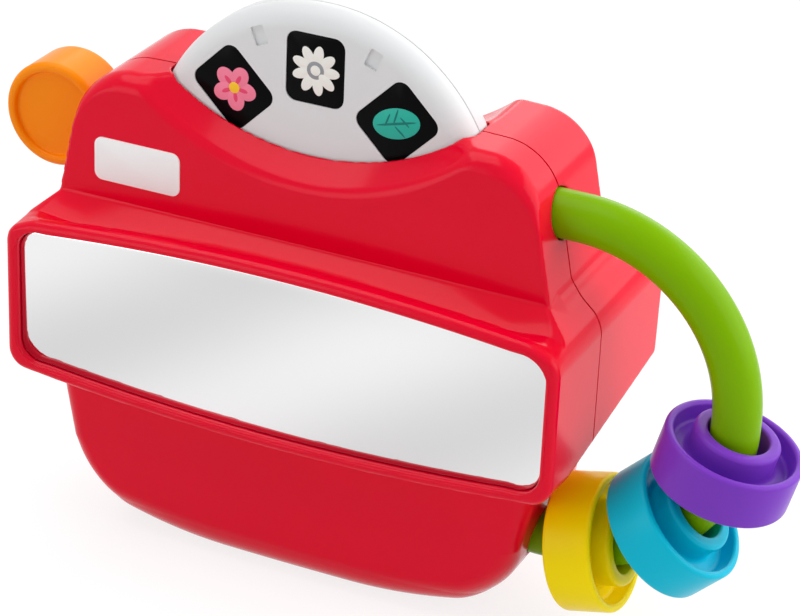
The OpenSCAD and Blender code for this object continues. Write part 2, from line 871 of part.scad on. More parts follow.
// One half of the disc, its face at height t above the parting plane
module disc_half(t) {
    flat_r = disc_r - disc_edge_r;
    in_r = disc_edge_r - disc_wall;
    difference() {
        rotate_extrude()
        polygon(concat(
            [[axle_r + run_gap, 0], [axle_r + run_gap, t], [flat_r, t]],
            arc(flat_r, t - disc_edge_r, disc_edge_r, 90, 0),
            [[disc_r, 0], [disc_r - disc_wall, 0]],
            arc(flat_r, t - disc_edge_r, in_r, 0, 90),
            [[hub_r, t - disc_wall], [hub_r, 0]]
        ));
        for (k = [0:picture_count - 1])
            rotate([0, 0, 90 + k * 360 / picture_count]) {
                translate([picture_orbit, 0, t - picture_t - picture_sink])
                linear_extrude(picture_t + picture_sink + cut)
                rounded_rect(picture_h + 2 * seat_gap, picture_w + 2 * seat_gap, picture_corner_r);
                rotate([0, 0, 180 / picture_count])
                translate([notch_orbit, 0, t - notch_depth + cut])
                cube([notch_h, notch_w, 2 * cut], center = true);
            }
    }
}

// The picture cards of one half, seated in their recesses
module cards(t) {
    for (k = [0:picture_count - 1])
        rotate([0, 0, 90 + k * 360 / picture_count])
        translate([picture_orbit, 0, t - picture_t - picture_sink])
        linear_extrude(picture_t)
        rounded_rect(picture_h, picture_w, picture_corner_r);
}

module on_disc_front() {
    translate([0, 0, disc_z]) rotate([90, 0, 0]) children();
}

module on_disc_rear() {
    translate([0, 0, disc_z]) rotate([-90, 0, 0]) mirror([0, 1, 0]) children();
}

module disc_front() { color(WHITE) on_disc_front() disc_half(disc_front_t); }
module disc_rear() { color(WHITE) on_disc_rear() disc_half(disc_rear_t); }
module front_pictures() { color([0.05, 0.05, 0.06]) on_disc_front() cards(disc_front_t); }
module rear_pictures() { color([0.05, 0.05, 0.06]) on_disc_rear() cards(disc_rear_t); }

// A toothed wheel behind the disc, one tooth for each picture
module ratchet_wheel() {
    step = 360 / picture_count;
    color(ORANGE)
    along_y(disc_rear_y, disc_rear_y + ratchet_t)
    translate([0, disc_z])
    difference() {
        polygon([for (k = [0:picture_count - 1], tip = [0, 1])
            let (a = k * step + tip * step * tooth_lead, r = tip == 0 ? ratchet_root_r : ratchet_r)
            [r * cos(a), r * sin(a)]]);
        circle(axle_r + run_gap);
    }
}

// The lever's knob, neck and hub
module lever() {
    knob_rear_y = hub_front_y + knob_t;
    knob = turned(knob_offset, 0);
    color(ORANGE)
    difference() {
        union() {
            bar_y(knob, knob_r, hub_front_y, knob_rear_y);
            bar_y(pivot, lever_hub_r, hub_front_y, hub_rear_y);
            neck_sweep(0, 0);
        }
        bar_y(knob, knob_r - knob_rim, hub_front_y - cut, hub_front_y + knob_dish);
        bar_y(knob, knob_r - knob_rim, knob_rear_y - knob_dish, knob_rear_y + cut);
        bar_y(pivot, pivot_r + run_gap, hub_front_y - cut, hub_rear_y + cut);
    }
}

// The arm that carries the pawl past the ratchet
module pawl_arm() {
    root_w = 9;
    tip_w = 2 * pawl_tip_r;
    spring_peg = turned([spring_peg_out, spring_peg_up], pawl_rest_angle);
    color(WHITE)
    difference() {
        union() {
            along_y(hub_rear_y, arm_rear_y)
            translate(pivot)
            rotate(pawl_rest_angle)
            union() {
                circle(root_w / 2);
                polygon([[0, root_w / 2], [0, -root_w / 2], [pawl_mid_l, -tip_w / 2], [pawl_mid_l, tip_w / 2]]);
                translate([pawl_mid_l, 0]) circle(pawl_tip_r);
            }
            bar_y(spring_peg, spring_peg_r, arm_rear_y - cut, spring_y + spring_pitch);
        }
        bar_y(pivot, pivot_r + run_gap, hub_rear_y - cut, arm_rear_y + cut);
    }
}

// A bead: an outer ring, a web and a hub, on the handle at angle a
module bead(a) {
    web_t = 3;
    round_r = bead_wall / 2;
    ring = bead_ring_l / 2;
    hub = bead_hub_l / 2;
    hub_edge = 0.8;
    translate([orbit_x + orbit_r * cos(a), 0, orbit_z + orbit_r * sin(a)])
    rotate([0, -a, 0])
    rotate_extrude()
    polygon(concat(
        [[bead_bore_r, -hub + hub_edge], [bead_bore_r + hub_edge, -hub], [bead_hub_r - hub_edge, -hub],
            [bead_hub_r, -hub + hub_edge], [bead_hub_r, -web_t / 2], [bead_r - bead_wall, -web_t / 2]],
        arc(bead_r - round_r, -ring + round_r, round_r, 180, 360),
        arc(bead_r - round_r, ring - round_r, round_r, 0, 180),
        [[bead_r - bead_wall, web_t / 2], [bead_hub_r, web_t / 2], [bead_hub_r, hub - hub_edge],
            [bead_hub_r - hub_edge, hub], [bead_bore_r + hub_edge, hub], [bead_bore_r, hub - hub_edge]]
    ));
}

module bead_purple() { color(PURPLE) bead(bead_high_angle); }
module bead_teal() { color(TEAL) bead(bead_mid_angle); }
module bead_yellow() { color(YELLOW) bead(bead_low_angle); }

front_shell();
rear_shell();
mirror_sheet();
mirror_backing();
label_plate();
handle_loop();
disc_axle();
lever_pin();
lever_spring();
click_spring();
lens_left();
lens_right();
eyecup_left();
eyecup_right();
shell_screws();
disc_front();
disc_rear();
front_pictures();
rear_pictures();
ratchet_wheel();
lever();
pawl_arm();
bead_purple();
bead_teal();
bead_yellow();
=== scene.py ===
import math

import bmesh
import bpy
import numpy as np
from mathutils import Matrix, Vector


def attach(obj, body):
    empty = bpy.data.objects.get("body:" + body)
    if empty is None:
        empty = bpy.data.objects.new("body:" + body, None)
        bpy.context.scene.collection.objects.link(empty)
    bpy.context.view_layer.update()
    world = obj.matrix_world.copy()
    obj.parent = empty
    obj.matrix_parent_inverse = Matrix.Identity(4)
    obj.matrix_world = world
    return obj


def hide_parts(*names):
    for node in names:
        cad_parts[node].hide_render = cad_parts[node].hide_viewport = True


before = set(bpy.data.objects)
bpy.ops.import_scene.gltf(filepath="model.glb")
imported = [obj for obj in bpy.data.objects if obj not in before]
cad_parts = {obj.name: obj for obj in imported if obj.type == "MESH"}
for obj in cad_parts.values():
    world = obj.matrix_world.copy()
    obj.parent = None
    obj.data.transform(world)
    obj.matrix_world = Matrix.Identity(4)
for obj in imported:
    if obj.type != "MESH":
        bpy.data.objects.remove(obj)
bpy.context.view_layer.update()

# Sizes in millimetres, in the CAD frame: +Z up, front towards -Y
MM = 0.001
CREASE = 32
WALL = 2.4
SEAM = 0.26
TONGUE_IN = 1.1
TONGUE_HALF = 0.9

# Grids that the moulded pieces are made on: lower and upper corner, and the size of a cell
SHELL_GRID = ((-71.4, -27.0, -2.1), (71.4, 46.2, 119.7), 0.7)
TONGUE_GRID = ((-71.3, -1.75, -2.2), (71.4, 1.75, 119.6), 0.5)
LEVER_GRID = ((-82.0, -5.2, 84.4), (-42.4, 10.6, 112.0), 0.4)

# Mirror frame, mirror and label
BAND_HALF = 69.0
FRAME_FRONT = -25.0
FRAME_TOP = 79.9
FRAME_LOW = 42.3
FRAME_BOW = 4.2
FRAME_ROUND = 1.9
RIM = 3.0
RIM_CORNER = 5.5
RIM_ROUND = 1.05
RIM_PROUD = 0.02
RIM_REAR = -20.4
LINING = 0.6
LINING_REAR = -21.2
HOLE_REAR = -15.0
MIRROR_FRONT = -23.2
MIRROR_REAR = -20.0
MIRROR_GAP = 0.15
MIRROR_EDGE = 0.5
LABEL_SIZE = (22.0, 10.5)
LABEL_AT = (-40.7, 95.0)
LABEL_CORNER = 2.0
LABEL_T = 0.4
LABEL_EDGE = 0.15

# Upper body
UPPER_FRONT = -13.0
UPPER_REAR = 22.0
UPPER_REAR_ROUND = 1.5
UPPER_BASE = 66.0
FOOT_X = 61.4
FOOT_Z = 84.3
SHOULDER_X = 57.0
SHOULDER_Z = 105.7
SHOULDER_R = 10.6
TOP_Z = 116.0
TOP_SLOPE = 0.03
TOP_SLOPE_X = 46.5
FACE_ROUND = 0.8
FACE_SOFTEN = 3.8
FACE_SOFTEN_Z = 102.0
FACE_SOFTEN_RUN = 11.0

# Hollows in the shoulders beside the disc
SCOOP_Z = 159.9
SCOOP_R = 60.7
SCOOP_RISE = 4.4 / 6.5
SCOOP_TAPER = 0.7 / 6.5
SCOOP_EDGE = 1.4
REAR_SCOOP_R = 57.6
REAR_SCOOP_FLOOR = 110.6
REAR_SCOOP_FALL = 7.2 / 14.1
REAR_SCOOP_ROUND = 6.0
REAR_SCOOP_EDGE = 1.0

# Band, with its flare, ledge and underside
BAND_REAR = 39.5
BAND_REAR_ROUND = 2.0
REAR_LEAN = 0.05
REAR_LEAN_Z = 64.0
EDGE_Z = 77.6
FLARE_ROUND = 2.6
FOOT_FILLET = 0.4
FOOT_SOFTEN = 2.2
FOOT_SOFTEN_Y = -12.0
FOOT_SOFTEN_RUN = 4.0
LEDGE_RUN = 5.0
LEDGE_TOP = 0.6
LEDGE_POWER = 1.3
GROOVE = 1.9
GROOVE_END = 67.0
GROOVE_FADE = 14.0
LIP_Y = -20.2
LIP_RUN = 1.8
LIP_ROUND = 0.8
LIP_SOFTEN = 2.4
UNDERSIDE = 0.15
UNDER_ROUND = 2.0
UNDER_SOFTEN = 2.6
AHEAD_Y = -14.0
AHEAD_RUN = 9.0
BOW_RUN = 18.0

# Factors that bring sloping fields back to about true distance
EVEN_LEDGE = 0.85
EVEN_SIDE = 0.98
EVEN_SCOOP = 0.85
EVEN_FLOOR = 0.89

# Belly under the band
BELLY_HALF = 56.7
BELLY_SLOPE = 0.2
BELLY_SLOPE_Z = 15.5
BELLY_CORNER = 12.0
BELLY_FRONT = -18.0
BELLY_BOW = 2.4
BELLY_BOW_X = 65.0
BELLY_ROUND = 5.0
BELLY_SOFTEN = 6.0
BELLY_SOFTEN_Z = 22.0
BELLY_SOFTEN_RUN = 14.0
BELLY_TOP = 64.8
BELLY_REAR = 28.0
BELLY_PLAN = 18.0
BELLY_PLAN_ROUND = 6.0
BELLY_CEILING = 60.0
BELLY_FILLET = 0.8
FOOT_HALF = 16.0
SWEEP_R = 127.0

# Eyepieces and their housing
EYE_X = 20.2
EYE_Z = 75.9
EYE_REAR = 44.0
EYE_HOLE_R = 9.6
HOUSE_HALF = 39.8
HOUSE_RISE = 16.2
HOUSE_CORNER = 14.0
HOUSE_ROUND = 4.0
HOUSE_FRONT = 18.0
HOUSE_FILLET = 2.0
CUP_R = 16.0
CUP_BORE = 7.95
CUP_T = 7.0
SPIGOT_R = 9.55
SPIGOT_T = 1.5
LENS_R = 11.0
LENS_REAR = 42.4
LENS_CROWN = 1.6
LENS_EDGE = 2.0
LENS_CHAMFER = 0.2
LENS_POCKET_R = 11.05
LENS_POCKET_FRONT = 30.0
LENS_SEAT_R = 13.2
LENS_SEAT_FRONT = 35.0

# Disc, its slot and the pictures
DISC_Z = 96.1
DISC_R = 42.3
DISC_FRONT = -6.0
DISC_REAR = 7.5
DISC_ROUND = 4.8
DISC_WALL = 2.0
DISC_SEAM = 0.12
AXLE_BORE = 3.05
AXLE_BOSS = 6.0
SLOT_FRONT = -6.4
SLOT_REAR = 7.9
SLOT_MIDDLE = 0.5 * (SLOT_FRONT + SLOT_REAR)
SLOT_GAP = 0.45
SLOT_EDGE = 0.4
PICTURES = 8
PICTURE_W = 14.3
PICTURE_H = 16.5
PICTURE_GAP = 0.1
PICTURE_CORNER = 2.6
PICTURE_RADIUS = 28.5
PICTURE_SUNK = 0.2
PICTURE_T = 0.6
PICTURE_EDGE = 0.12
MOTIF_RADIUS = 28.3
INK_T = 0.03
INK_STEP = 0.004
INK_ROOT = 0.1
INK_EDGE = 0.01
STAR_CORNER = 0.35
NOTCH_W = 3.3
NOTCH_H = 4.5
NOTCH_RADIUS = 36.5
NOTCH_DEPTH = 0.7
NOTCH_CORNER = 0.4

# Lever and its return spring
PIVOT = (-47.5, 106.0)
PIVOT_BORE = 2.05
KNOB = (-68.3, 98.2)
KNOB_R = 12.7
KNOB_FRONT = -4.1
KNOB_REAR = 9.4
KNOB_GAP = 0.6
KNOB_ROUND = 1.3
KNOB_RIM = 2.4
KNOB_DISH = 1.4
DISH_ROUND = 0.5
DISH_EDGE = 0.9
WELL_EDGE = 0.6
HUB_R = 4.2
HUB_REAR = 8.5
HUB_ROUND = 0.4
HUB_FILLET = 0.5
NECK_HALF = 4.0
NECK_DEPTH = 3.5
NECK_Y = 2.65
NECK_ROUND = 1.2
NECK_FILLET = 1.0
NECK_SUNK = 1.0
NECK_WELL = 22.0
LEVER_TRAVEL = 12.0
LEVER_STEPS = (0, LEVER_TRAVEL / 2, LEVER_TRAVEL)
SPRING_R = 4.8
SPRING_WIRE = 0.45
SPRING_THIN = 0.07
SPRING_PITCH = 1.3
SPRING_Y = 12.4
SPRING_START = 1260.0
SPRING_END = 90.0 + math.degrees(math.atan2(DISC_Z - PIVOT[1], -PIVOT[0])) - LEVER_TRAVEL / 2
SPRING_TUCK = 13.0

# Handle and beads
TUBE_R = 5.5
TUBE_WALL = 1.8
TUBE_GAP = 0.25
TUBE_SEAT_R = 9.1
TUBE_END_GAP = 1.0
TUBE_EDGE = 0.5
BEND_R = 39.2
BEND_X = 62.5
BEND_LOW = 60.2
BEND_HIGH = 62.0
TUBE_ENDS = ((45.8, BEND_HIGH + BEND_R), (41.0, BEND_LOW - BEND_R))
ORBIT_X = 61.5
ORBIT_Z = 61.1
ORBIT_R = 40.35
BEAD_R = 16.0
BEAD_BORE = 7.05

# Screws, the same at both sides
SCREW_SPOTS = ((62.6, 60.5), (36.0, 12.0), (49.0, 88.2))
SCREWS = [(s * px, pz) for s in (-1, 1) for px, pz in SCREW_SPOTS]
SCREW_SEAT_R = 4.3
SCREW_HOLE_R = 3.4
SCREW_HEAD_Y = 6.0
SCREW_EDGE = 0.4

# Levels of the floor and the sky
FLOOR_GLOW = 0.82
FLOOR_MATT = 0.22
FLOOR_PLAIN = 0.8
SKY_LIGHT = 0.4


# Materials
def shader(name):
    mat = bpy.data.materials.new(name)
    mat.use_nodes = True
    return mat, mat.node_tree, mat.node_tree.nodes["Principled BSDF"]


def linear(rgb):
    """Colours from 0 to 255 as linear light."""
    return [((c / 255 + 0.055) / 1.055) ** 2.4 if c > 10 else c / 255 / 12.92 for c in rgb]


def plastic(name, rgb, roughness=0.28, vary=0.04, grain=900.0, bump=0.02, specular=0.2):
    """Moulded plastic: a cloudy tint, a roughness that wanders and a fine mould grain."""
    mat, tree, bsdf = shader(name)
    coord = tree.nodes.new("ShaderNodeTexCoord")
    cloud = tree.nodes.new("ShaderNodeTexNoise")
    cloud.inputs["Scale"].default_value = 35.0
    cloud.inputs["Detail"].default_value = 3.0
    tint = tree.nodes.new("ShaderNodeMix")
    tint.data_type = "RGBA"
    base = linear(rgb)
    tint.inputs["A"].default_value = [c * (1 - vary) for c in base] + [1]
    tint.inputs["B"].default_value = [min(1.0, c * (1 + vary)) for c in base] + [1]
    gloss = tree.nodes.new("ShaderNodeMapRange")
    gloss.inputs["To Min"].default_value = roughness * 0.9
    gloss.inputs["To Max"].default_value = roughness * 1.12
    fine = tree.nodes.new("ShaderNodeTexNoise")
    fine.inputs["Scale"].default_value = grain
    fine.inputs["Detail"].default_value = 2.0
    relief = tree.nodes.new("ShaderNodeBump")
    relief.inputs["Strength"].default_value = bump
    relief.inputs["Distance"].default_value = 0.0002
    link = tree.links.new
    link(coord.outputs["Object"], cloud.inputs["Vector"])
    link(coord.outputs["Object"], fine.inputs["Vector"])
    link(cloud.outputs["Fac"], tint.inputs["Factor"])
    link(cloud.outputs["Fac"], gloss.inputs["Value"])
    link(tint.outputs["Result"], bsdf.inputs["Base Color"])
    link(gloss.outputs["Result"], bsdf.inputs["Roughness"])
    link(fine.outputs["Fac"], relief.inputs["Height"])
    link(relief.outputs["Normal"], bsdf.inputs["Normal"])
    bsdf.inputs["Specular IOR Level"].default_value = specular
    return mat


def metal(name, rgb, roughness, grain):
    """Metal with fine drawn marks in its roughness."""
    mat, tree, bsdf = shader(name)
    coord = tree.nodes.new("ShaderNodeTexCoord")
    marks = tree.nodes.new("ShaderNodeTexNoise")
    marks.inputs["Scale"].default_value = grain
    marks.inputs["Detail"].default_value = 4.0
    gloss = tree.nodes.new("ShaderNodeMapRange")
    gloss.inputs["To Min"].default_value = roughness * 0.7
    gloss.inputs["To Max"].default_value = roughness * 1.3
    tree.links.new(coord.outputs["Object"], marks.inputs["Vector"])
    tree.links.new(marks.outputs["Fac"], gloss.inputs["Value"])
    tree.links.new(gloss.outputs["Result"], bsdf.inputs["Roughness"])
    bsdf.inputs["Base Color"].default_value = linear(rgb) + [1]
    bsdf.inputs["Metallic"].default_value = 1.0
    return mat


def mirror_painted_reflection(name, dark, light):
    """Silvered sheet with broad soft bands across it, a painted reflection in its base colour."""
    mat, tree, bsdf = shader(name)
    coord = tree.nodes.new("ShaderNodeTexCoord")
    turn = tree.nodes.new("ShaderNodeMapping")
    turn.inputs["Rotation"].default_value = (0, math.radians(-57), 0)
    # painted reflection: broad diagonal bands of darker and lighter grey in the mirror's colour
    reflection_bands = tree.nodes.new("ShaderNodeTexWave")
    reflection_bands.inputs["Scale"].default_value = 6.1
    reflection_bands.inputs["Phase Offset"].default_value = 2.36
    reflection_bands.inputs["Distortion"].default_value = 0.3
    reflection_bands.inputs["Detail"].default_value = 1.0
    reflection_bands.inputs["Detail Scale"].default_value = 1.5
    tint = tree.nodes.new("ShaderNodeMix")
    tint.data_type = "RGBA"
    tint.inputs["A"].default_value = linear(dark) + [1]
    tint.inputs["B"].default_value = linear(light) + [1]
    tree.links.new(coord.outputs["Object"], turn.inputs["Vector"])
    tree.links.new(turn.outputs["Vector"], reflection_bands.inputs["Vector"])
    tree.links.new(reflection_bands.outputs["Fac"], tint.inputs["Factor"])
    tree.links.new(tint.outputs["Result"], bsdf.inputs["Base Color"])
    bsdf.inputs["Metallic"].default_value = 1.0
    bsdf.inputs["Roughness"].default_value = 0.06
    return mat


def clear_lens(name):
    mat, tree, bsdf = shader(name)
    coord = tree.nodes.new("ShaderNodeTexCoord")
    smear = tree.nodes.new("ShaderNodeTexNoise")
    smear.inputs["Scale"].default_value = 120.0
    gloss = tree.nodes.new("ShaderNodeMapRange")
    gloss.inputs["To Min"].default_value = 0.0
    gloss.inputs["To Max"].default_value = 0.04
    tree.links.new(coord.outputs["Object"], smear.inputs["Vector"])
    tree.links.new(smear.outputs["Fac"], gloss.inputs["Value"])
    tree.links.new(gloss.outputs["Result"], bsdf.inputs["Roughness"])
    bsdf.inputs["Base Color"].default_value = (0.93, 0.97, 0.98, 1)
    bsdf.inputs["Transmission Weight"].default_value = 1.0
    bsdf.inputs["IOR"].default_value = 1.49
    return mat


RED = plastic("red_plastic", (228, 0, 42), roughness=0.16, specular=0.13)
GREEN = plastic("green_plastic", (122, 172, 0), roughness=0.26, specular=0.07)
PURPLE = plastic("purple_plastic", (120, 56, 186), roughness=0.3, specular=0.12)
TEAL = plastic("teal_plastic", (0, 186, 214), roughness=0.3, specular=0.12)
YELLOW = plastic("yellow_plastic", (255, 226, 0), roughness=0.3, specular=0.1)
ORANGE = plastic("orange_plastic", (252, 142, 0), roughness=0.28, specular=0.12)
WHITE = plastic("white_plastic", (222, 223, 224), roughness=0.32, vary=0.012, specular=0.1)
LABEL = plastic("label_white", (246, 246, 246), roughness=0.4, vary=0.01)
CARD = plastic("card_black", (7, 7, 8), roughness=0.2, specular=0.04)
BOARD = plastic("board_white", (226, 224, 218), roughness=0.7, vary=0.03, grain=400.0, bump=0.1)
ACETAL = plastic("acetal_white", (238, 238, 232), roughness=0.4, vary=0.02)
# Mirror colour with a painted reflection in broad soft bands
MIRROR = mirror_painted_reflection("mirror_painted_reflection", (210, 210, 211), (234, 234, 235))
STEEL = metal("steel", (178, 180, 184), 0.3, 700.0)
LENS = clear_lens("lens_clear")
INKS = {
    "pink": plastic("ink_pink", (246, 130, 158), 0.35),
    "rose": plastic("ink_rose", (232, 70, 110), 0.35),
    "cream": plastic("ink_cream", (240, 238, 232), 0.35, vary=0.01),
    "grey": plastic("ink_grey", (150, 152, 156), 0.35),
    "aqua": plastic("ink_aqua", (40, 178, 158), 0.35),
    "pine": plastic("ink_pine", (14, 120, 112), 0.35),
    "sun": plastic("ink_sun", (252, 200, 40), 0.35),
    "sky": plastic("ink_sky", (70, 160, 230), 0.35),
    "violet": plastic("ink_violet", (150, 90, 200), 0.35),
    "leaf": plastic("ink_leaf", (120, 190, 60), 0.35),
    "tangerine": plastic("ink_tangerine", (246, 140, 40), 0.35),
}


# Making and placing pieces
def piece(name, verts, faces, body, materials, replaces=(), crease=CREASE, indices=None):
    """A mesh from millimetres, placed on a body of the frame."""
    me = bpy.data.meshes.new(name)
    me.from_pydata((np.asarray(verts, float) * MM).tolist(), [], faces)
    for mat in materials:
        me.materials.append(mat)
    if indices is not None:
        me.polygons.foreach_set("material_index", indices)
    bm = bmesh.new()
    bm.from_mesh(me)
    bmesh.ops.recalc_face_normals(bm, faces=bm.faces)
    bm.to_mesh(me)
    bm.free()
    me.shade_smooth()
    me.set_sharp_from_angle(angle=math.radians(crease))
    obj = bpy.data.objects.new(name, me)
    bpy.context.scene.collection.objects.link(obj)
    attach(obj, body)
    if replaces:
        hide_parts(*replaces)
    return obj


def rounded(points, steps=6):
    """A closed outline of (x, y, radius) corners, with each corner turned into an arc."""
    out = []
    n = len(points)
    for k, (x, y, r) in enumerate(points):
        p = np.array((x, y), float)
        if r <= 0:
            out.append(p)
            continue
        a = np.array(points[k - 1][:2], float) - p
        b = np.array(points[(k + 1) % n][:2], float) - p
        a /= np.linalg.norm(a)
        b /= np.linalg.norm(b)
        half = math.acos(max(-1.0, min(1.0, float(a @ b)))) / 2
        mid = a + b
        mid /= np.linalg.norm(mid)
        centre = p + mid * r / math.sin(half)
        start = p + a * r / math.tan(half) - centre
        end = p + b * r / math.tan(half) - centre
        a0 = math.atan2(start[1], start[0])
        turn = math.atan2(end[1], end[0]) - a0
        turn = (turn + math.pi) % (2 * math.pi) - math.pi
        for s in range(steps + 1):
            t = a0 + turn * s / steps
            out.append(centre + r * np.array((math.cos(t), math.sin(t))))
    return np.array(out)


def lathe(profile, matrix, count=96):
    """Turn a closed (radius, height) outline about the local Z axis."""
    angles = np.arange(count) * 2 * math.pi / count
    m = len(profile)
    r = np.asarray(profile)[:, 0]
    h = np.asarray(profile)[:, 1]
    x = np.cos(angles)[:, None] * r
    y = np.sin(angles)[:, None] * r
    z = np.broadcast_to(h, x.shape)
    local = np.stack([x, y, z, np.ones_like(x)], -1).reshape(-1, 4)
    verts = (local @ np.array(matrix).T)[:, :3]
    faces = []
    for i in range(count):
        j = (i + 1) % count
        for k in range(m):
            q = (k + 1) % m
            faces.append((i * m + k, j * m + k, j * m + q, i * m + q))
    return verts, faces


def solid_lathe(profile, matrix, count=96):
    """Turn an open (radius, height) outline whose two ends lie on the axis."""
    verts, faces = lathe(profile[1:-1], matrix, count)
    m = len(profile) - 2
    faces = [f for k, f in enumerate(faces) if k % m != m - 1]
    ends = [(np.array(matrix) @ np.array([0, 0, profile[e][1], 1]))[:3] for e in (0, -1)]
    verts = np.vstack([verts, ends])
    first, last = count * m, count * m + 1
    for i in range(count):
        j = (i + 1) % count
        faces.append((first, j * m, i * m))
        faces.append((last, i * m + m - 1, j * m + m - 1))
    return verts, faces


def ring_quads(rings, n, closed=False):
    """Quads between rings of n points each, with the last ring joined to the first where closed."""
    faces = []
    for k in range(rings if closed else rings - 1):
        m = (k + 1) % rings
        for i in range(n):
            j = (i + 1) % n
            faces.append((k * n + i, k * n + j, m * n + j, m * n + i))
    return faces


def frame_matrix(origin, axis, side):
    """A matrix whose local Z is axis and local X is side."""
    z = Vector(axis).normalized()
    x = Vector(side).normalized()
    y = z.cross(x)
    return Matrix((
        (x.x, y.x, z.x, origin[0]),
        (x.y, y.y, z.y, origin[1]),
        (x.z, y.z, z.z, origin[2]),
        (0, 0, 0, 1),
    ))


# Distance fields for the moulded shells
def either(a, b, r=0.0):
    """Union of two fields, with a fillet of radius r in the corner."""
    if np.isscalar(r) and r <= 0:
        return np.minimum(a, b)
    return np.maximum(r, np.minimum(a, b)) - np.hypot(np.maximum(r - a, 0), np.maximum(r - b, 0))


def both(a, b, r=0.0):
    """Intersection of two fields, with a round of radius r on the edge."""
    if np.isscalar(r) and r <= 0:
        return np.maximum(a, b)
    return np.minimum(-r, np.maximum(a, b)) + np.hypot(np.maximum(r + a, 0), np.maximum(r + b, 0))


def less(a, b, r=0.0):
    """Field a with field b cut away, its cut edge rounded by r."""
    return both(a, -b, r)


def plane_through(p, q, u, v):
    """Signed distance from the line p to q, positive on its left, for the coordinates u, v."""
    d = np.array(q, float) - np.array(p, float)
    d /= np.linalg.norm(d)
    return (v - p[1]) * d[0] - (u - p[0]) * d[1]


def ramp(value, start, run):
    """0 up to start, 1 from start + run on, and straight between them."""
    return np.clip((value - start) / run, 0, 1)


def smooth(t):
    """A straight ramp from 0 to 1, eased at both ends."""
    return t * t * (3 - 2 * t)


def rounded_box(u, v, r):
    """One corner of a box, rounded by r, with u and v measured from the middle of its round."""
    return np.hypot(np.maximum(u, 0), np.maximum(v, 0)) + np.minimum(np.maximum(u, v), 0) - r


def frame_bow(x):
    return FRAME_BOW * (1 - (x / BAND_HALF) ** 2)


def frame_top(x):
    return FRAME_TOP + frame_bow(x)


def frame_low(x):
    return FRAME_LOW - frame_bow(x)


def frame_hole(x, z, inset, corner):
    """The same outline as mirror_outline, as a field."""
    sides = np.abs(x) - (BAND_HALF - inset)
    ends = np.maximum(z - (frame_top(x) - inset), frame_low(x) + inset - z)
    return both(sides, ends, corner)


def upper_field(x, y, z):
    """Upper body, with rounded shoulders and a front edge that softens towards the top."""
    ax = np.abs(x)
    side = -plane_through((FOOT_X, FOOT_Z), (SHOULDER_X, SHOULDER_Z), ax, z)
    top = z - (TOP_Z + TOP_SLOPE * np.maximum(TOP_SLOPE_X - ax, 0))
    upper = both(side, top, SHOULDER_R)
    edge = FACE_ROUND + FACE_SOFTEN * ramp(z, FACE_SOFTEN_Z, FACE_SOFTEN_RUN)
    upper = both(upper, UPPER_FRONT - y, edge)
    upper = both(upper, y - UPPER_REAR, UPPER_REAR_ROUND)
    return both(upper, UPPER_BASE - z)


def ledge_height(x, y):
    """Falls from the upper body to a groove behind the frame's lip, which fades out at its ends."""
    fall = ramp(-y, -UPPER_FRONT, LEDGE_RUN)
    rise = ramp(-y, -LIP_Y, LIP_RUN)
    groove = GROOVE * smooth(ramp(-np.abs(x), -GROOVE_END, GROOVE_FADE))
    groove_z = frame_top(x) - groove
    height = groove_z + (FOOT_Z + LEDGE_TOP - groove_z) * (1 - fall) ** LEDGE_POWER
    return height + groove * smooth(rise)


def band_field(x, y, z):
    """Wide band, with the flare above it, the ledge in front and the sloping underside."""
    ax = np.abs(x)
    flare = -plane_through((BAND_HALF, EDGE_Z), (FOOT_X, FOOT_Z), ax, z)
    band = both(ax - BAND_HALF, flare, FLARE_ROUND)
    ahead = ramp(-y, -AHEAD_Y, AHEAD_RUN)
    band = both(band, (z - ledge_height(x, y)) * EVEN_LEDGE, LIP_ROUND + LIP_SOFTEN * ahead)
    low_z = FRAME_LOW + UNDERSIDE * (y - FRAME_FRONT) - frame_bow(x) * ramp(-y, 0, BOW_RUN)
    band = both(band, (low_z - z) * EVEN_SIDE, UNDER_ROUND + UNDER_SOFTEN * ahead)
    band = both(band, FRAME_FRONT - y, FRAME_ROUND)
    return both(band, y - BAND_REAR - REAR_LEAN * (z - REAR_LEAN_Z), BAND_REAR_ROUND)


def belly_field(x, y, z):
    """Belly under the band, swept up at both ends of its underside."""
    ax = np.abs(x)
    side = (ax - BELLY_HALF - BELLY_SLOPE * (z - BELLY_SLOPE_Z)) * EVEN_SIDE
    under = np.where(ax < FOOT_HALF, -z, np.hypot(ax - FOOT_HALF, z - SWEEP_R) - SWEEP_R)
    belly = both(side, under, BELLY_CORNER)
    front = BELLY_FRONT + BELLY_BOW * (x / BELLY_BOW_X) ** 2 - y
    edge = BELLY_ROUND + BELLY_SOFTEN * ramp(-z, -BELLY_SOFTEN_Z, BELLY_SOFTEN_RUN)
    belly = both(belly, front, edge)
    plan = rounded_box(ax - BELLY_TOP + BELLY_PLAN, y - BELLY_REAR + BELLY_PLAN, BELLY_PLAN)
    belly = both(belly, plan, BELLY_PLAN_ROUND)
    return both(belly, z - BELLY_CEILING)


def house_field(x, y, z):
    """Housing of the eyepieces."""
    u = np.abs(x) - HOUSE_HALF + HOUSE_CORNER
    v = np.abs(z - EYE_Z) - HOUSE_RISE + HOUSE_CORNER
    house = both(rounded_box(u, v, HOUSE_CORNER), y - EYE_REAR, HOUSE_ROUND)
    return both(house, HOUSE_FRONT - y)


def front_scoop(x, y, z):
    """Cone cut into the shoulders in front of the disc."""
    centre_z = SCOOP_Z + (y - UPPER_FRONT) * SCOOP_RISE
    radius = SCOOP_R - (y - UPPER_FRONT) * SCOOP_TAPER
    cone = (np.hypot(x, z - centre_z) - radius) * EVEN_SCOOP
    return both(cone, y - SLOT_MIDDLE)


def rear_scoop(x, y, z):
    """Round hollow with a sloping floor behind the disc."""
    floor_z = REAR_SCOOP_FLOOR - (y - SLOT_REAR) * REAR_SCOOP_FALL
    hollow = both(np.hypot(x, z - SCOOP_Z) - REAR_SCOOP_R, (floor_z - z) * EVEN_FLOOR, REAR_SCOOP_ROUND)
    return both(hollow, SLOT_MIDDLE - y)


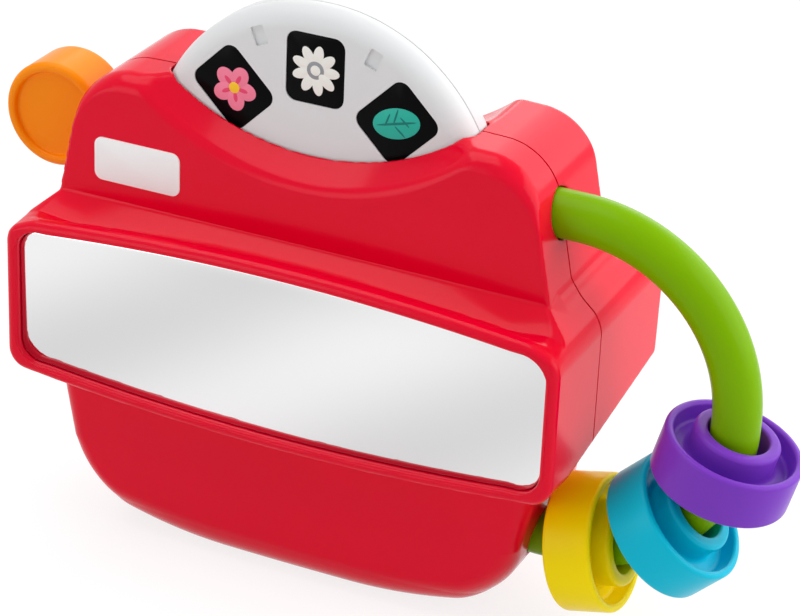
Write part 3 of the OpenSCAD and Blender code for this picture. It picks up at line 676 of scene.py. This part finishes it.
def body_field(x, y, z):
    """The outside of the red body."""
    fillet = FOOT_FILLET + FOOT_SOFTEN * ramp(y, FOOT_SOFTEN_Y, FOOT_SOFTEN_RUN)
    body = either(upper_field(x, y, z), band_field(x, y, z), fillet)
    body = either(body, belly_field(x, y, z), BELLY_FILLET)
    body = either(body, house_field(x, y, z), HOUSE_FILLET)
    body = less(body, front_scoop(x, y, z), SCOOP_EDGE)
    return less(body, rear_scoop(x, y, z), REAR_SCOOP_EDGE)


def bar_y(x, z, px, pz, r):
    """A round bar along Y."""
    return np.hypot(x - px, z - pz) - r


def turned(p, angle):
    """A point of the lever, turned about the pivot by degrees."""
    c = math.cos(math.radians(angle))
    s = math.sin(math.radians(angle))
    dx = p[0] - PIVOT[0]
    dz = p[1] - PIVOT[1]
    return PIVOT[0] + c * dx - s * dz, PIVOT[1] + s * dx + c * dz


def along_lever(x, z, angle):
    """Distances along the lever's neck from the pivot and across it, with the lever turned by degrees."""
    far = turned(KNOB, angle)
    along = np.array((far[0] - PIVOT[0], far[1] - PIVOT[1]))
    along /= np.linalg.norm(along)
    u = (x - PIVOT[0]) * along[0] + (z - PIVOT[1]) * along[1]
    v = np.abs(-(x - PIVOT[0]) * along[1] + (z - PIVOT[1]) * along[0])
    return u, v


def knob_way(x, y, z, gap):
    """The space that the knob sweeps, with a gap around it."""
    way = np.minimum.reduce([bar_y(x, z, *turned(KNOB, a), KNOB_R + gap) for a in LEVER_STEPS])
    return both(way, np.maximum(KNOB_FRONT - gap - y, y - KNOB_REAR - gap))


def neck_way(x, y, z, gap):
    """The space that the lever's neck sweeps, with a gap around it."""
    ways = []
    for angle in LEVER_STEPS:
        u, v = along_lever(x, z, angle)
        ways.append(np.maximum(v - NECK_HALF - gap, np.maximum(-u, u - NECK_WELL)))
    return both(np.minimum.reduce(ways), np.abs(y - NECK_Y) - NECK_DEPTH - gap)


def seats_field(x, y, z):
    """Solid seats around the knob's well, the tube's ends, the screws and the lenses."""
    seats = knob_way(x, y, z, KNOB_GAP + WALL)
    for x0, pz in TUBE_ENDS:
        seats = np.minimum(seats, both(np.hypot(y, z - pz) - TUBE_SEAT_R, x0 - x))
    for px, pz in SCREWS:
        seats = np.minimum(seats, both(bar_y(x, z, px, pz, SCREW_SEAT_R), -y))
    for px in (-EYE_X, EYE_X):
        seats = np.minimum(seats, both(bar_y(x, z, px, EYE_Z, LENS_SEAT_R), LENS_SEAT_FRONT - y))
    return seats


def shell_field(x, y, z):
    """The hollow body with all its openings."""
    outer = body_field(x, y, z)
    shell = np.minimum(less(outer, outer + WALL), np.maximum(outer, y - MIRROR_REAR))
    # the mirror's opening, wider at the front where the rounded edge is set in
    shell = less(shell, both(frame_hole(x, z, RIM, RIM_CORNER), y - HOLE_REAR))
    shell = less(shell, both(frame_hole(x, z, RIM - LINING, RIM_CORNER + LINING), y - LINING_REAR))
    shell = np.minimum(shell, np.maximum(outer, seats_field(x, y, z)))
    # the disc's slot and the lever's well
    across = np.maximum(SLOT_FRONT - y, y - SLOT_REAR)
    shell = less(shell, both(bar_y(x, z, 0, DISC_Z, DISC_R + SLOT_GAP), across, DISC_ROUND), SLOT_EDGE)
    well = np.minimum(knob_way(x, y, z, KNOB_GAP), neck_way(x, y, z, KNOB_GAP))
    shell = less(shell, well, WELL_EDGE)
    # bores for the tube's ends, the screws and the lenses
    for x0, pz in TUBE_ENDS:
        bore = both(np.hypot(y, z - pz) - (TUBE_R + TUBE_GAP), x0 - TUBE_END_GAP - x)
        shell = less(shell, bore, TUBE_EDGE)
    for px, pz in SCREWS:
        shell = less(shell, both(bar_y(x, z, px, pz, SCREW_HOLE_R), SCREW_HEAD_Y - y), SCREW_EDGE)
    for px in (-EYE_X, EYE_X):
        ends = np.maximum(LENS_POCKET_FRONT - y, y - LENS_REAR)
        shell = less(shell, both(bar_y(x, z, px, EYE_Z, LENS_POCKET_R), ends))
        shell = less(shell, both(bar_y(x, z, px, EYE_Z, EYE_HOLE_R), LENS_POCKET_FRONT - y))
    return shell


def slope(shape, points):
    """The unit gradient of a field at points, one row each."""
    step = 0.02
    x, y, z = points.T
    here = shape(x, y, z)
    rise = np.stack([
        shape(x + step, y, z) - here,
        shape(x, y + step, z) - here,
        shape(x, y, z + step) - here,
    ], 1)
    return rise / np.maximum(np.linalg.norm(rise, axis=1), 1e-9)[:, None]


def surface(shape, lo, hi, cell):
    """Vertices and quads on a field's zero level, with its sharp edges kept."""
    axes = [np.arange(a, b + cell, cell) for a, b in zip(lo, hi)]
    field = shape(*np.meshgrid(*axes, indexing="ij", sparse=True)).astype(np.float32)
    inside = field < 0
    size = np.array(field.shape) - 1
    corners = [(i, j, k) for i in (0, 1) for j in (0, 1) for k in (0, 1)]
    total = np.zeros(size, np.int8)
    for i, j, k in corners:
        total += inside[i:i + size[0], j:j + size[1], k:k + size[2]]
    cells = np.argwhere((total > 0) & (total < 8))
    index = np.full(size, -1, np.int64)
    index[tuple(cells.T)] = np.arange(len(cells))
    middle = np.zeros((len(cells), 3))
    count = np.zeros(len(cells))
    square = np.zeros((len(cells), 3, 3))
    pull = np.zeros((len(cells), 3))
    origin = np.array(lo, float)
    for c in corners:
        for axis in range(3):
            if c[axis]:
                continue
            d = list(c)
            d[axis] = 1
            a = field[tuple((cells + c).T)].astype(float)
            b = field[tuple((cells + d).T)].astype(float)
            hit = np.flatnonzero((a < 0) != (b < 0))
            p = cells[hit] + np.array(c, float)
            p[:, axis] += a[hit] / (a[hit] - b[hit])
            n = slope(shape, origin + p * cell)
            middle[hit] += p
            count[hit] += 1
            square[hit] += n[:, :, None] * n[:, None, :]
            pull[hit] += n * (n * p).sum(1)[:, None]
    middle /= count[:, None]
    hold = 0.08
    point = np.linalg.solve(square + hold * np.eye(3), (pull + hold * middle)[:, :, None])[:, :, 0]
    point = np.clip(point, cells, cells + 1)
    quads = []
    for axis in range(3):
        u, v = [(1, 2), (2, 0), (0, 1)][axis]
        low = [slice(None)] * 3
        high = [slice(None)] * 3
        low[axis] = slice(0, -1)
        high[axis] = slice(1, None)
        change = np.argwhere(inside[tuple(low)] != inside[tuple(high)])
        ring = []
        for du, dv in ((0, 0), (-1, 0), (-1, -1), (0, -1)):
            cell_at = change.copy()
            cell_at[:, u] += du
            cell_at[:, v] += dv
            ring.append(index[tuple(cell_at.T)])
        ring = np.stack(ring, 1)
        flip = ~inside[tuple(change.T)]
        ring[flip] = ring[flip][:, ::-1]
        quads.append(ring)
    return origin + point * cell, np.vstack(quads)


def corner_normals(me, shape):
    """A normal for each face corner, read from the field just inside that face."""
    co = np.zeros(len(me.vertices) * 3)
    me.vertices.foreach_get("co", co)
    co = co.reshape(-1, 3)
    vert = np.zeros(len(me.loops), int)
    me.loops.foreach_get("vertex_index", vert)
    sides = np.zeros(len(me.polygons), int)
    me.polygons.foreach_get("loop_total", sides)
    centre = np.zeros(len(me.polygons) * 3)
    me.polygons.foreach_get("center", centre)
    centre = np.repeat(centre.reshape(-1, 3), sides, axis=0)
    inset = 0.25
    return slope(shape, co[vert] * (1 - inset) + centre * inset), sides


def moulded_half(name, verts, quads, side, nodes):
    """One half of the body, cut at the parting plane and closed there."""
    bm = bmesh.new()
    mark = bm.faces.layers.int.new("cap")
    made = [bm.verts.new(v) for v in verts]
    for q in quads:
        bm.faces.new([made[k] for k in q])
    geom = bm.verts[:] + bm.edges[:] + bm.faces[:]
    cut = bmesh.ops.bisect_plane(
        bm,
        geom=geom,
        dist=1e-4,
        plane_co=(0, side * SEAM, 0),
        plane_no=(0, -side, 0),
        clear_outer=True,
    )
    rim = [e for e in cut["geom_cut"] if isinstance(e, bmesh.types.BMEdge)]
    filled = bmesh.ops.triangle_fill(bm, edges=rim, use_beauty=True, normal=(0, -side, 0))
    for f in filled["geom"]:
        if isinstance(f, bmesh.types.BMFace):
            f[mark] = 1
    me = bpy.data.meshes.new(name)
    bm.to_mesh(me)
    bm.free()
    normals, sides = corner_normals(me, shell_field)
    cap = np.zeros(len(me.polygons), int)
    me.attributes["cap"].data.foreach_get("value", cap)
    normals[np.repeat(cap, sides) > 0] = (0, -side, 0)
    me.attributes.remove(me.attributes["cap"])
    me.transform(Matrix.Scale(MM, 4))
    me.shade_smooth()
    me.normals_split_custom_set(normals.tolist())
    me.materials.append(RED)
    obj = bpy.data.objects.new(name, me)
    bpy.context.scene.collection.objects.link(obj)
    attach(obj, "body")
    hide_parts(*nodes)
    return obj


shell_verts, shell_quads = surface(shell_field, *SHELL_GRID)
moulded_half("front_half", shell_verts, shell_quads, -1, ["front_shell"])
moulded_half("rear_half", shell_verts, shell_quads, 1, ["rear_shell"])


# Tongue that closes the parting line from inside
def tongue_field(x, y, z):
    wall = np.maximum(shell_field(x, y, z), body_field(x, y, z) + TONGUE_IN)
    return np.maximum(wall, np.abs(y) - TONGUE_HALF)


verts, quads = surface(tongue_field, *TONGUE_GRID)
piece("parting_tongue", verts, quads.tolist(), "body", [RED], crease=40)


# Outlines and flat plates
def box_outline(w, h, r, cx=0.0, cz=0.0, steps=6):
    return rounded([
        (cx - w / 2, cz - h / 2, r), (cx + w / 2, cz - h / 2, r),
        (cx + w / 2, cz + h / 2, r), (cx - w / 2, cz + h / 2, r),
    ], steps)


def join(parts):
    """Several (verts, faces, material index) as one."""
    verts, faces, indices = [], [], []
    for v, f, m in parts:
        faces += [tuple(k + len(verts) for k in face) for face in f]
        verts += [tuple(p) for p in v]
        indices += [m] * len(f)
    return verts, faces, indices


def mirror_outline(inset, corner):
    """The mirror frame's outline, inset, with rounded corners."""
    half = BAND_HALF - inset
    xs = np.linspace(-half + corner, half - corner, 41)
    top = [(x, frame_top(x) - inset) for x in xs]
    low = [(x, frame_low(x) + inset) for x in xs]
    corners = [(*low[-2], 0), (half, low[-1][1], corner), (half, top[-1][1], corner), (*top[-2], 0)]
    right = rounded(corners, 12)
    left = right[::-1] * (-1, 1)
    return np.vstack([low[1:-1], right[1:-1], top[1:-1][::-1], left[1:-1]])


def plate(outline, matrix, low, high, edge):
    """A flat plate with a small round on its upper edge."""
    outline = np.asarray(outline, float)
    middle = outline.mean(0)
    n = len(outline)
    ahead = np.roll(outline, -1, 0) - np.roll(outline, 1, 0)
    out = np.stack([ahead[:, 1], -ahead[:, 0]], 1)
    out /= np.linalg.norm(out, axis=1)[:, None]
    if ((outline - middle) * out).sum() < 0:
        out = -out
    rings = [(0.0, low), (0.0, high - edge), (0.3 * edge, high - 0.3 * edge), (edge, high)]
    local = [np.column_stack([outline - out * inset, np.full(n, h), np.ones(n)]) for inset, h in rings]
    verts = (np.vstack(local) @ np.array(matrix).T)[:, :3]
    faces = ring_quads(len(rings), n)
    faces.append(tuple(range(n))[::-1])
    faces.append(tuple(range((len(rings) - 1) * n, len(rings) * n)))
    return verts, faces


# Mirror, with a rounded outline that follows the frame
FRONTWARD = frame_matrix((0, 0, 0), (0, -1, 0), (1, 0, 0))
outline = mirror_outline(RIM + MIRROR_GAP, RIM_CORNER - MIRROR_GAP)
verts, faces = plate(outline, FRONTWARD, -MIRROR_REAR, -MIRROR_FRONT, MIRROR_EDGE)
piece("mirror", verts, faces, "body", [MIRROR], ["mirror_sheet"])


# Rounded inner edge of the frame, part of the front moulding and sunk into it
def frame_edge():
    start = RIM - RIM_ROUND
    front = FRAME_FRONT - RIM_PROUD
    profile = [(start, front + 2.0)]
    for t in np.radians(np.linspace(0, 90, 10)):
        profile.append((start + RIM_ROUND * math.sin(t), front + RIM_ROUND * (1 - math.cos(t))))
    profile += [(RIM, RIM_REAR), (start, RIM_REAR)]
    rings = []
    for inset, y in profile:
        outline = mirror_outline(inset, RIM + RIM_CORNER - inset)
        rings.append(np.column_stack([outline[:, 0], np.full(len(outline), y), outline[:, 1]]))
    return np.vstack(rings), ring_quads(len(rings), len(rings[0]), closed=True)


verts, faces = frame_edge()
piece("frame_edge", verts, faces, "body", [RED])


# Label: a blank plate with rounded corners
outline = box_outline(*LABEL_SIZE, LABEL_CORNER, *LABEL_AT)
verts, faces = plate(outline, FRONTWARD, -UPPER_FRONT, LABEL_T - UPPER_FRONT, LABEL_EDGE)
piece("label", verts, faces, "body", [LABEL], ["label_plate"])


# Disc: two halves with a rounded edge and pockets for the pictures
def cut_pockets(obj, boxes):
    """Cut sharp-edged pockets into a piece, each a closed plate."""
    verts, faces, _ = join([(v, f, 0) for v, f in boxes])
    me = bpy.data.meshes.new("pockets")
    me.from_pydata((np.array(verts) * MM).tolist(), [], faces)
    tool = bpy.data.objects.new("pockets", me)
    bpy.context.scene.collection.objects.link(tool)
    mod = obj.modifiers.new("pockets", "BOOLEAN")
    mod.object = tool
    mod.operation = "DIFFERENCE"
    mod.solver = "EXACT"
    depsgraph = bpy.context.evaluated_depsgraph_get()
    cut = bpy.data.meshes.new_from_object(obj.evaluated_get(depsgraph))
    obj.modifiers.clear()
    obj.data = cut
    cut.shade_smooth()
    cut.set_sharp_from_angle(angle=math.radians(CREASE))
    bpy.data.objects.remove(tool)


def disc_place(face, angle):
    """A matrix at the disc's centre: local Z out of that face, local Y along the radius at angle."""
    out = -1 if face == "front" else 1
    radial = (math.cos(math.radians(angle)), 0, math.sin(math.radians(angle)))
    z = Vector((0, out, 0))
    return frame_matrix((0, 0, DISC_Z), z, Vector(radial).cross(z))


for half, face_t in (("front", -DISC_FRONT), ("rear", DISC_REAR)):
    inner_t = face_t - DISC_WALL
    inner_r = DISC_R - DISC_WALL
    profile = rounded([
        (AXLE_BORE, DISC_SEAM, 0), (AXLE_BOSS, DISC_SEAM, 0), (AXLE_BOSS, inner_t, 0.5),
        (inner_r - 0.2, inner_t, 2.6), (inner_r, DISC_SEAM, 0), (DISC_R, DISC_SEAM, 0.25),
        (DISC_R, face_t, DISC_ROUND), (AXLE_BORE, face_t, 0),
    ], 10)
    verts, faces = lathe(profile, disc_place(half, 90), 144)
    disc = piece(f"disc_{half}_half", verts, faces, "disc", [WHITE], [f"disc_{half}"])
    pockets = []
    for k in range(PICTURES):
        place = disc_place(half, 90 + 360 * k / PICTURES)
        outline = box_outline(
            PICTURE_W + PICTURE_GAP, PICTURE_H + PICTURE_GAP, PICTURE_CORNER, 0, PICTURE_RADIUS
        )
        pockets.append(plate(outline, place, face_t - PICTURE_SUNK - PICTURE_T, face_t + 1, 0))
        place = disc_place(half, 90 + 360 * (k + 0.5) / PICTURES)
        outline = box_outline(NOTCH_W, NOTCH_H, NOTCH_CORNER, 0, NOTCH_RADIUS, 3)
        pockets.append(plate(outline, place, face_t - NOTCH_DEPTH, face_t + 1, 0))
    cut_pockets(disc, pockets)


# Pictures: plain motifs on black cards
def oval(cx, cy, rx, ry, turn=0.0, count=36):
    a = np.arange(count) * 2 * math.pi / count
    c = math.cos(math.radians(turn))
    s = math.sin(math.radians(turn))
    u = rx * np.cos(a)
    v = ry * np.sin(a)
    return np.column_stack([cx + c * u - s * v, cy + s * u + c * v])


def ring_of(count, radius, rx, ry, start=0.0):
    """Petals: ovals around the middle, each turned outwards."""
    out = []
    for k in range(count):
        a = start + 360 * k / count
        px = radius * math.cos(math.radians(a))
        py = radius * math.sin(math.radians(a))
        out.append(oval(px, py, rx, ry, a))
    return out


def star(points, outer, inner, start=90.0):
    out = []
    for k in range(2 * points):
        r = inner if k % 2 else outer
        a = math.radians(start + 180 * k / points)
        out.append((r * math.cos(a), r * math.sin(a), STAR_CORNER))
    return rounded(out, 3)


DAISY = [
    ("cream", ring_of(9, 3.6, 2.3, 1.25)),
    ("grey", [oval(0, 0, 2.1, 2.1)]),
    ("cream", [oval(0, 0, 1.2, 1.2)]),
]
BLOSSOM = [
    ("pink", ring_of(5, 3.0, 2.5, 2.1, 90)),
    ("rose", ring_of(5, 2.2, 1.2, 0.5, 90)),
    ("sun", [oval(0, 0, 1.3, 1.3)]),
]
STAR = [("sun", [star(5, 5.6, 2.6)])]
CLOUD = [("sky", [oval(-2.2, -1.2, 2.6, 2.2), oval(2.2, -1.2, 2.8, 2.2), oval(0, 0.8, 3.0, 2.8)])]
SUN = [("tangerine", [star(12, 5.6, 3.9)]), ("sun", [oval(0, 0, 3.1, 3.1)])]
BUTTERFLY = [
    ("violet", [
        oval(-2.5, 1.8, 2.7, 2.1, -35), oval(2.5, 1.8, 2.7, 2.1, 35),
        oval(-2, -2.2, 2, 1.6, 35), oval(2, -2.2, 2, 1.6, -35),
    ]),
    ("pink", [oval(0, 0, 0.6, 4.2)]),
]
APPLE = [
    ("leaf", [oval(0, -0.8, 4.4, 4.6)]),
    ("cream", [oval(-1.6, 0.8, 0.8, 1.3, 20)]),
    ("pine", [oval(0.9, 4.8, 0.5, 1.3, -25)]),
]
LEAF = [
    ("aqua", [oval(0, 0, 3.6, 5.8, -30)]),
    ("pine", [
        oval(0, 0, 0.3, 4.9, -30), oval(-1.3, 1.0, 0.22, 1.9, 30), oval(1.9, -0.6, 0.22, 1.7, -85),
        oval(0.9, 1.9, 0.22, 1.5, -85), oval(-1.9, -1.2, 0.22, 1.7, 25),
    ]),
]
MOTIFS = [DAISY, BLOSSOM, STAR, CLOUD, SUN, BUTTERFLY, APPLE, LEAF]


def picture_set(name, half, face_t, node):
    """All the cards of one face as one piece, with each ink a little above the card."""
    names = list(INKS)
    top = face_t - PICTURE_SUNK
    card = box_outline(PICTURE_W, PICTURE_H, PICTURE_CORNER, 0, PICTURE_RADIUS)
    parts = []
    for k in range(PICTURES):
        place = disc_place(half, 90 + 360 * k / PICTURES)
        parts.append((*plate(card, place, top - PICTURE_T, top, PICTURE_EDGE), 0))
        level = top
        for ink, shapes in MOTIFS[k]:
            level += INK_T
            for n, outline in enumerate(shapes):
                raised = level + INK_STEP * n
                shape = plate(outline + (0, MOTIF_RADIUS), place, top - INK_ROOT, raised, INK_EDGE)
                parts.append((*shape, 1 + names.index(ink)))
    verts, faces, indices = join(parts)
    materials = [CARD] + list(INKS.values())
    piece(name, verts, faces, "disc", materials, [node], indices=indices)


picture_set("front_cards", "front", -DISC_FRONT, "front_pictures")
picture_set("rear_cards", "rear", DISC_REAR, "rear_pictures")


# Handle: a hollow tube with two quarter bends, whose ends go into the body
def bend(centre_z, first, last):
    turn = np.radians(np.linspace(first, last, 33))
    return list(zip(BEND_X + BEND_R * np.cos(turn), centre_z + BEND_R * np.sin(turn)))


def handle_path():
    pts = [(x, BEND_HIGH + BEND_R) for x in np.linspace(TUBE_ENDS[0][0], BEND_X, 8)[:-1]]
    pts += bend(BEND_HIGH, 90, 0) + bend(BEND_LOW, 0, -90)
    pts += [(x, BEND_LOW - BEND_R) for x in np.linspace(BEND_X, TUBE_ENDS[1][0], 9)[1:]]
    return np.array(pts)


def tube(path, outer, inner, count=48):
    """A round tube along a path in the X-Z plane."""
    ahead = np.gradient(path, axis=0)
    ahead /= np.linalg.norm(ahead, axis=1)[:, None]
    out = np.stack([-ahead[:, 1], ahead[:, 0]], 1)
    n = len(path)
    verts, faces = [], []
    for r in (outer, inner):
        for k in range(n):
            for s in range(count):
                a = 2 * math.pi * s / count
                p = path[k] + out[k] * r * math.cos(a)
                verts.append((p[0], r * math.sin(a), p[1]))
    for ring in range(2):
        base = ring * n * count
        faces += [tuple(base + v for v in face) for face in ring_quads(n, count)]
    for k in (0, n - 1):
        for s in range(count):
            t = (s + 1) % count
            a, b = k * count, (n + k) * count
            faces.append((a + s, a + t, b + t, b + s))
    return verts, faces


verts, faces = tube(handle_path(), TUBE_R, TUBE_R - TUBE_WALL)
piece("handle_tube", verts, faces, "body", [GREEN], ["handle_loop"])


# Beads: ring, web and hub turned in one outline
def bead_profile():
    ring = 5.75
    hub = 8.2
    web = 1.5
    upper = [
        (BEAD_BORE, hub, 0.7), (10.0, hub, 1.1), (9.8, web, 1.2), (13.6, web, 1.0),
        (14.1, ring, 0.85), (BEAD_R, ring, 0.95),
    ]
    lower = [(r, -h, e) for r, h, e in upper[::-1]]
    return rounded(upper + lower, 6)


for name, angle, mat in (("purple", -15, PURPLE), ("teal", -46, TEAL), ("yellow", -76.5, YELLOW)):
    c = math.cos(math.radians(angle))
    s = math.sin(math.radians(angle))
    spot = (ORBIT_X + ORBIT_R * c, 0, ORBIT_Z + ORBIT_R * s)
    place = frame_matrix(spot, (-s, 0, c), (c, 0, s))
    verts, faces = lathe(bead_profile(), place, 120)
    piece(f"ring_{name}", verts, faces, f"bead_{name}", [mat], [f"bead_{name}"])


# Lever: knob with dished faces, neck and hub, from a field like the shells
def lever_field(x, y, z):
    knob = both(bar_y(x, z, *KNOB, KNOB_R), np.maximum(KNOB_FRONT - y, y - KNOB_REAR), KNOB_ROUND)
    for dish in (y - KNOB_FRONT - KNOB_DISH, KNOB_REAR - KNOB_DISH - y):
        knob = less(knob, both(bar_y(x, z, *KNOB, KNOB_R - KNOB_RIM), dish, DISH_ROUND), DISH_EDGE)
    u, v = along_lever(x, z, 0)
    reach = math.hypot(KNOB[0] - PIVOT[0], KNOB[1] - PIVOT[1])
    neck = both(v - NECK_HALF, np.abs(y - NECK_Y) - NECK_DEPTH, NECK_ROUND)
    neck = both(neck, np.maximum(-u, u - reach + KNOB_R - NECK_SUNK))
    hub = both(bar_y(x, z, *PIVOT, HUB_R), np.maximum(KNOB_FRONT - y, y - HUB_REAR), HUB_ROUND)
    solid = either(either(knob, neck, NECK_FILLET), hub, HUB_FILLET)
    return less(solid, bar_y(x, z, *PIVOT, PIVOT_BORE))


verts, quads = surface(lever_field, *LEVER_GRID)
faces = quads.tolist()
lever = piece("lever_knob", verts, faces, "lever", [ORANGE], ["lever"], crease=180)
lever.data.transform(Matrix.Scale(1 / MM, 4))
normals, _ = corner_normals(lever.data, lever_field)
lever.data.transform(Matrix.Scale(MM, 4))
lever.data.normals_split_custom_set(normals.tolist())


# Eyepieces: soft cups and crowned lenses
for side, px in (("left", -EYE_X), ("right", EYE_X)):
    place = frame_matrix((px, EYE_REAR, EYE_Z), (0, 1, 0), (1, 0, 0))
    profile = rounded([
        (CUP_BORE, -SPIGOT_T, 0), (SPIGOT_R, -SPIGOT_T, 0.2), (SPIGOT_R, 0.02, 0), (CUP_R, 0.02, 0.4),
        (CUP_R, CUP_T, 2.0), (12.6, CUP_T, 1.0), (CUP_BORE, 1.6, 1.2),
    ], 8)
    verts, faces = lathe(profile, place, 120)
    piece(f"cup_{side}", verts, faces, "body", [ORANGE], [f"eyecup_{side}"])
    crown = [(r, LENS_EDGE + LENS_CROWN * (1 - (r / LENS_R) ** 2)) for r in np.linspace(LENS_R, 0, 16)]
    place = frame_matrix((px, LENS_REAR, EYE_Z), (0, -1, 0), (1, 0, 0))
    flat = [(0, 0), (LENS_R - LENS_CHAMFER, 0), (LENS_R, LENS_CHAMFER)]
    verts, faces = solid_lathe(flat + crown, place, 96)
    piece(f"glass_{side}", verts, faces, "body", [LENS], [f"lens_{side}"])


# Return spring: the coil stays, and its free leg turns with the pawl arm
def wire(path, radius, count=12):
    """A round wire along points, with one radius or one for each point."""
    path = np.asarray(path, float)
    radius = np.broadcast_to(radius, len(path))[:, None, None]
    ahead = np.gradient(path, axis=0)
    ahead /= np.linalg.norm(ahead, axis=1)[:, None]
    u = np.cross(ahead, (0, 1, 0))
    u /= np.linalg.norm(u, axis=1)[:, None]
    v = np.cross(u, ahead)
    turn = np.linspace(0, 2 * math.pi, count, endpoint=False)
    around = u[:, None] * np.cos(turn)[None, :, None] + v[:, None] * np.sin(turn)[None, :, None]
    faces = ring_quads(len(path), count)
    faces.append(tuple(range(count)))
    faces.append(tuple(range((len(path) - 1) * count, len(path) * count)))
    return (path[:, None] + radius * around).reshape(-1, 3), faces


def coil_point(angle):
    a = math.radians(angle)
    y = SPRING_Y + SPRING_PITCH * (angle - SPRING_END) / 360
    return np.array((PIVOT[0] + SPRING_R * math.cos(a), y, PIVOT[1] + SPRING_R * math.sin(a)))


def coil_ahead(angle):
    a = math.radians(angle)
    return np.array((math.sin(a), 0, -math.cos(a)))


fixed_leg = [coil_point(SPRING_START) - s * coil_ahead(SPRING_START) for s in (9.0, 6.0, 3.0, 1.0)]
coil = [coil_point(a) for a in np.linspace(SPRING_START, SPRING_END + SPRING_TUCK, 110)]
verts, faces = wire(fixed_leg + coil, SPRING_WIRE)
piece("spring_coil", verts, faces, "body", [STEEL], ["lever_spring"])
tucked = [coil_point(a) for a in np.linspace(SPRING_END + SPRING_TUCK + 3.0, SPRING_END, 8)]
free_leg = [coil_point(SPRING_END) + s * coil_ahead(SPRING_END) for s in (1.0, 2.0, 6.0, 10.0, 15.0)]
thin = [SPRING_WIRE - SPRING_THIN] * len(tucked) + [SPRING_WIRE] * len(free_leg)
verts, faces = wire(tucked + free_leg, thin)
piece("spring_leg", verts, faces, "lever", [STEEL])


# CAD nodes that stay as they are, with finished materials
for node, mat in (
    ("mirror_backing", BOARD), ("disc_axle", STEEL), ("lever_pin", STEEL),
    ("click_spring", STEEL), ("shell_screws", STEEL), ("ratchet_wheel", ORANGE), ("pawl_arm", ACETAL),
):
    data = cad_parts[node].data
    data.materials.clear()
    data.materials.append(mat)


# Floor, light and camera
def background_rays(tree):
    """A socket that is 1 for the rays that show the background."""
    ways = tree.nodes.new("ShaderNodeLightPath")
    shown = ways.outputs["Is Camera Ray"]
    for kind in ("Is Glossy Ray", "Is Transmission Ray"):
        more = tree.nodes.new("ShaderNodeMath")
        more.operation = "MAXIMUM"
        tree.links.new(shown, more.inputs[0])
        tree.links.new(ways.outputs[kind], more.inputs[1])
        shown = more.outputs[0]
    return shown


def floor():
    mat = bpy.data.materials.new("floor_white")
    mat.use_nodes = True
    tree = mat.node_tree
    tree.nodes.clear()
    out = tree.nodes.new("ShaderNodeOutputMaterial")
    glow = tree.nodes.new("ShaderNodeEmission")
    glow.inputs["Color"].default_value = (1, 1, 1, 1)
    glow.inputs["Strength"].default_value = FLOOR_GLOW
    matt = tree.nodes.new("ShaderNodeBsdfDiffuse")
    matt.inputs["Color"].default_value = (FLOOR_MATT, FLOOR_MATT, FLOOR_MATT, 1)
    plain = tree.nodes.new("ShaderNodeBsdfDiffuse")
    plain.inputs["Color"].default_value = (FLOOR_PLAIN, FLOOR_PLAIN, FLOOR_PLAIN, 1)
    lit = tree.nodes.new("ShaderNodeAddShader")
    pick = tree.nodes.new("ShaderNodeMixShader")
    link = tree.links.new
    link(glow.outputs[0], lit.inputs[0])
    link(matt.outputs[0], lit.inputs[1])
    link(background_rays(tree), pick.inputs["Fac"])
    link(plain.outputs[0], pick.inputs[1])
    link(lit.outputs[0], pick.inputs[2])
    link(pick.outputs[0], out.inputs["Surface"])
    me = bpy.data.meshes.new("floor")
    me.from_pydata([(-6, -6, 0), (6, -6, 0), (6, 6, 0), (-6, 6, 0)], [], [(0, 1, 2, 3)])
    me.materials.append(mat)
    obj = bpy.data.objects.new("floor", me)
    bpy.context.scene.collection.objects.link(obj)


def lamp(name, place, aim, size, power):
    data = bpy.data.lights.new(name, "AREA")
    data.shape = "RECTANGLE"
    data.size, data.size_y = size
    data.energy = power
    obj = bpy.data.objects.new(name, data)
    obj.location = place
    obj.rotation_euler = (Vector(aim) - Vector(place)).to_track_quat("-Z", "Y").to_euler()
    bpy.context.scene.collection.objects.link(obj)


floor()
scene = bpy.context.scene
scene.view_settings.view_transform = "Standard"
scene.world = scene.world or bpy.data.worlds.new("world")
scene.world.use_nodes = True
tree = scene.world.node_tree
sky = tree.nodes["Background"]
level = tree.nodes.new("ShaderNodeMapRange")
level.inputs["To Min"].default_value = SKY_LIGHT
level.inputs["To Max"].default_value = 1.0
tree.links.new(background_rays(tree), level.inputs["Value"])
tree.links.new(level.outputs["Result"], sky.inputs["Strength"])
sky.inputs["Color"].default_value = (1, 1, 1, 1)

lamp("key", (-0.6, -0.85, 0.2), (0, 0, 0.06), (0.6, 0.6), 2.2)
lamp("right", (0.85, 0.25, 0.5), (0, 0, 0.06), (1.2, 0.9), 8.5)
lamp("top", (-0.3, -0.08, 0.95), (0, 0, 0.08), (0.75, 0.75), 4.8)
lamp("back", (0.08, 0.95, 0.5), (0, 0, 0.08), (1.3, 0.6), 4.6)

camera = bpy.data.cameras.new("camera")
camera.sensor_width = 36.0
camera.lens = 135.3
camera.clip_end = 50.0
eye = bpy.data.objects.new("camera", camera)
azimuth = math.radians(24.15)
roll = math.radians(2.55)
aim = Vector((0.0202, 0, 0.0686))
spot = Vector((0.2692, -0.5553, 0.3756))
back = (spot - aim).normalized()
right = Vector((math.cos(azimuth), math.sin(azimuth), 0))
up = back.cross(right)
across = right * math.cos(roll) + up * math.sin(roll)
rise = up * math.cos(roll) - right * math.sin(roll)
eye.matrix_world = Matrix((
    (across.x, rise.x, back.x, spot.x),
    (across.y, rise.y, back.y, spot.y),
    (across.z, rise.z, back.z, spot.z),
    (0, 0, 0, 1),
))
scene.collection.objects.link(eye)
scene.camera = eye
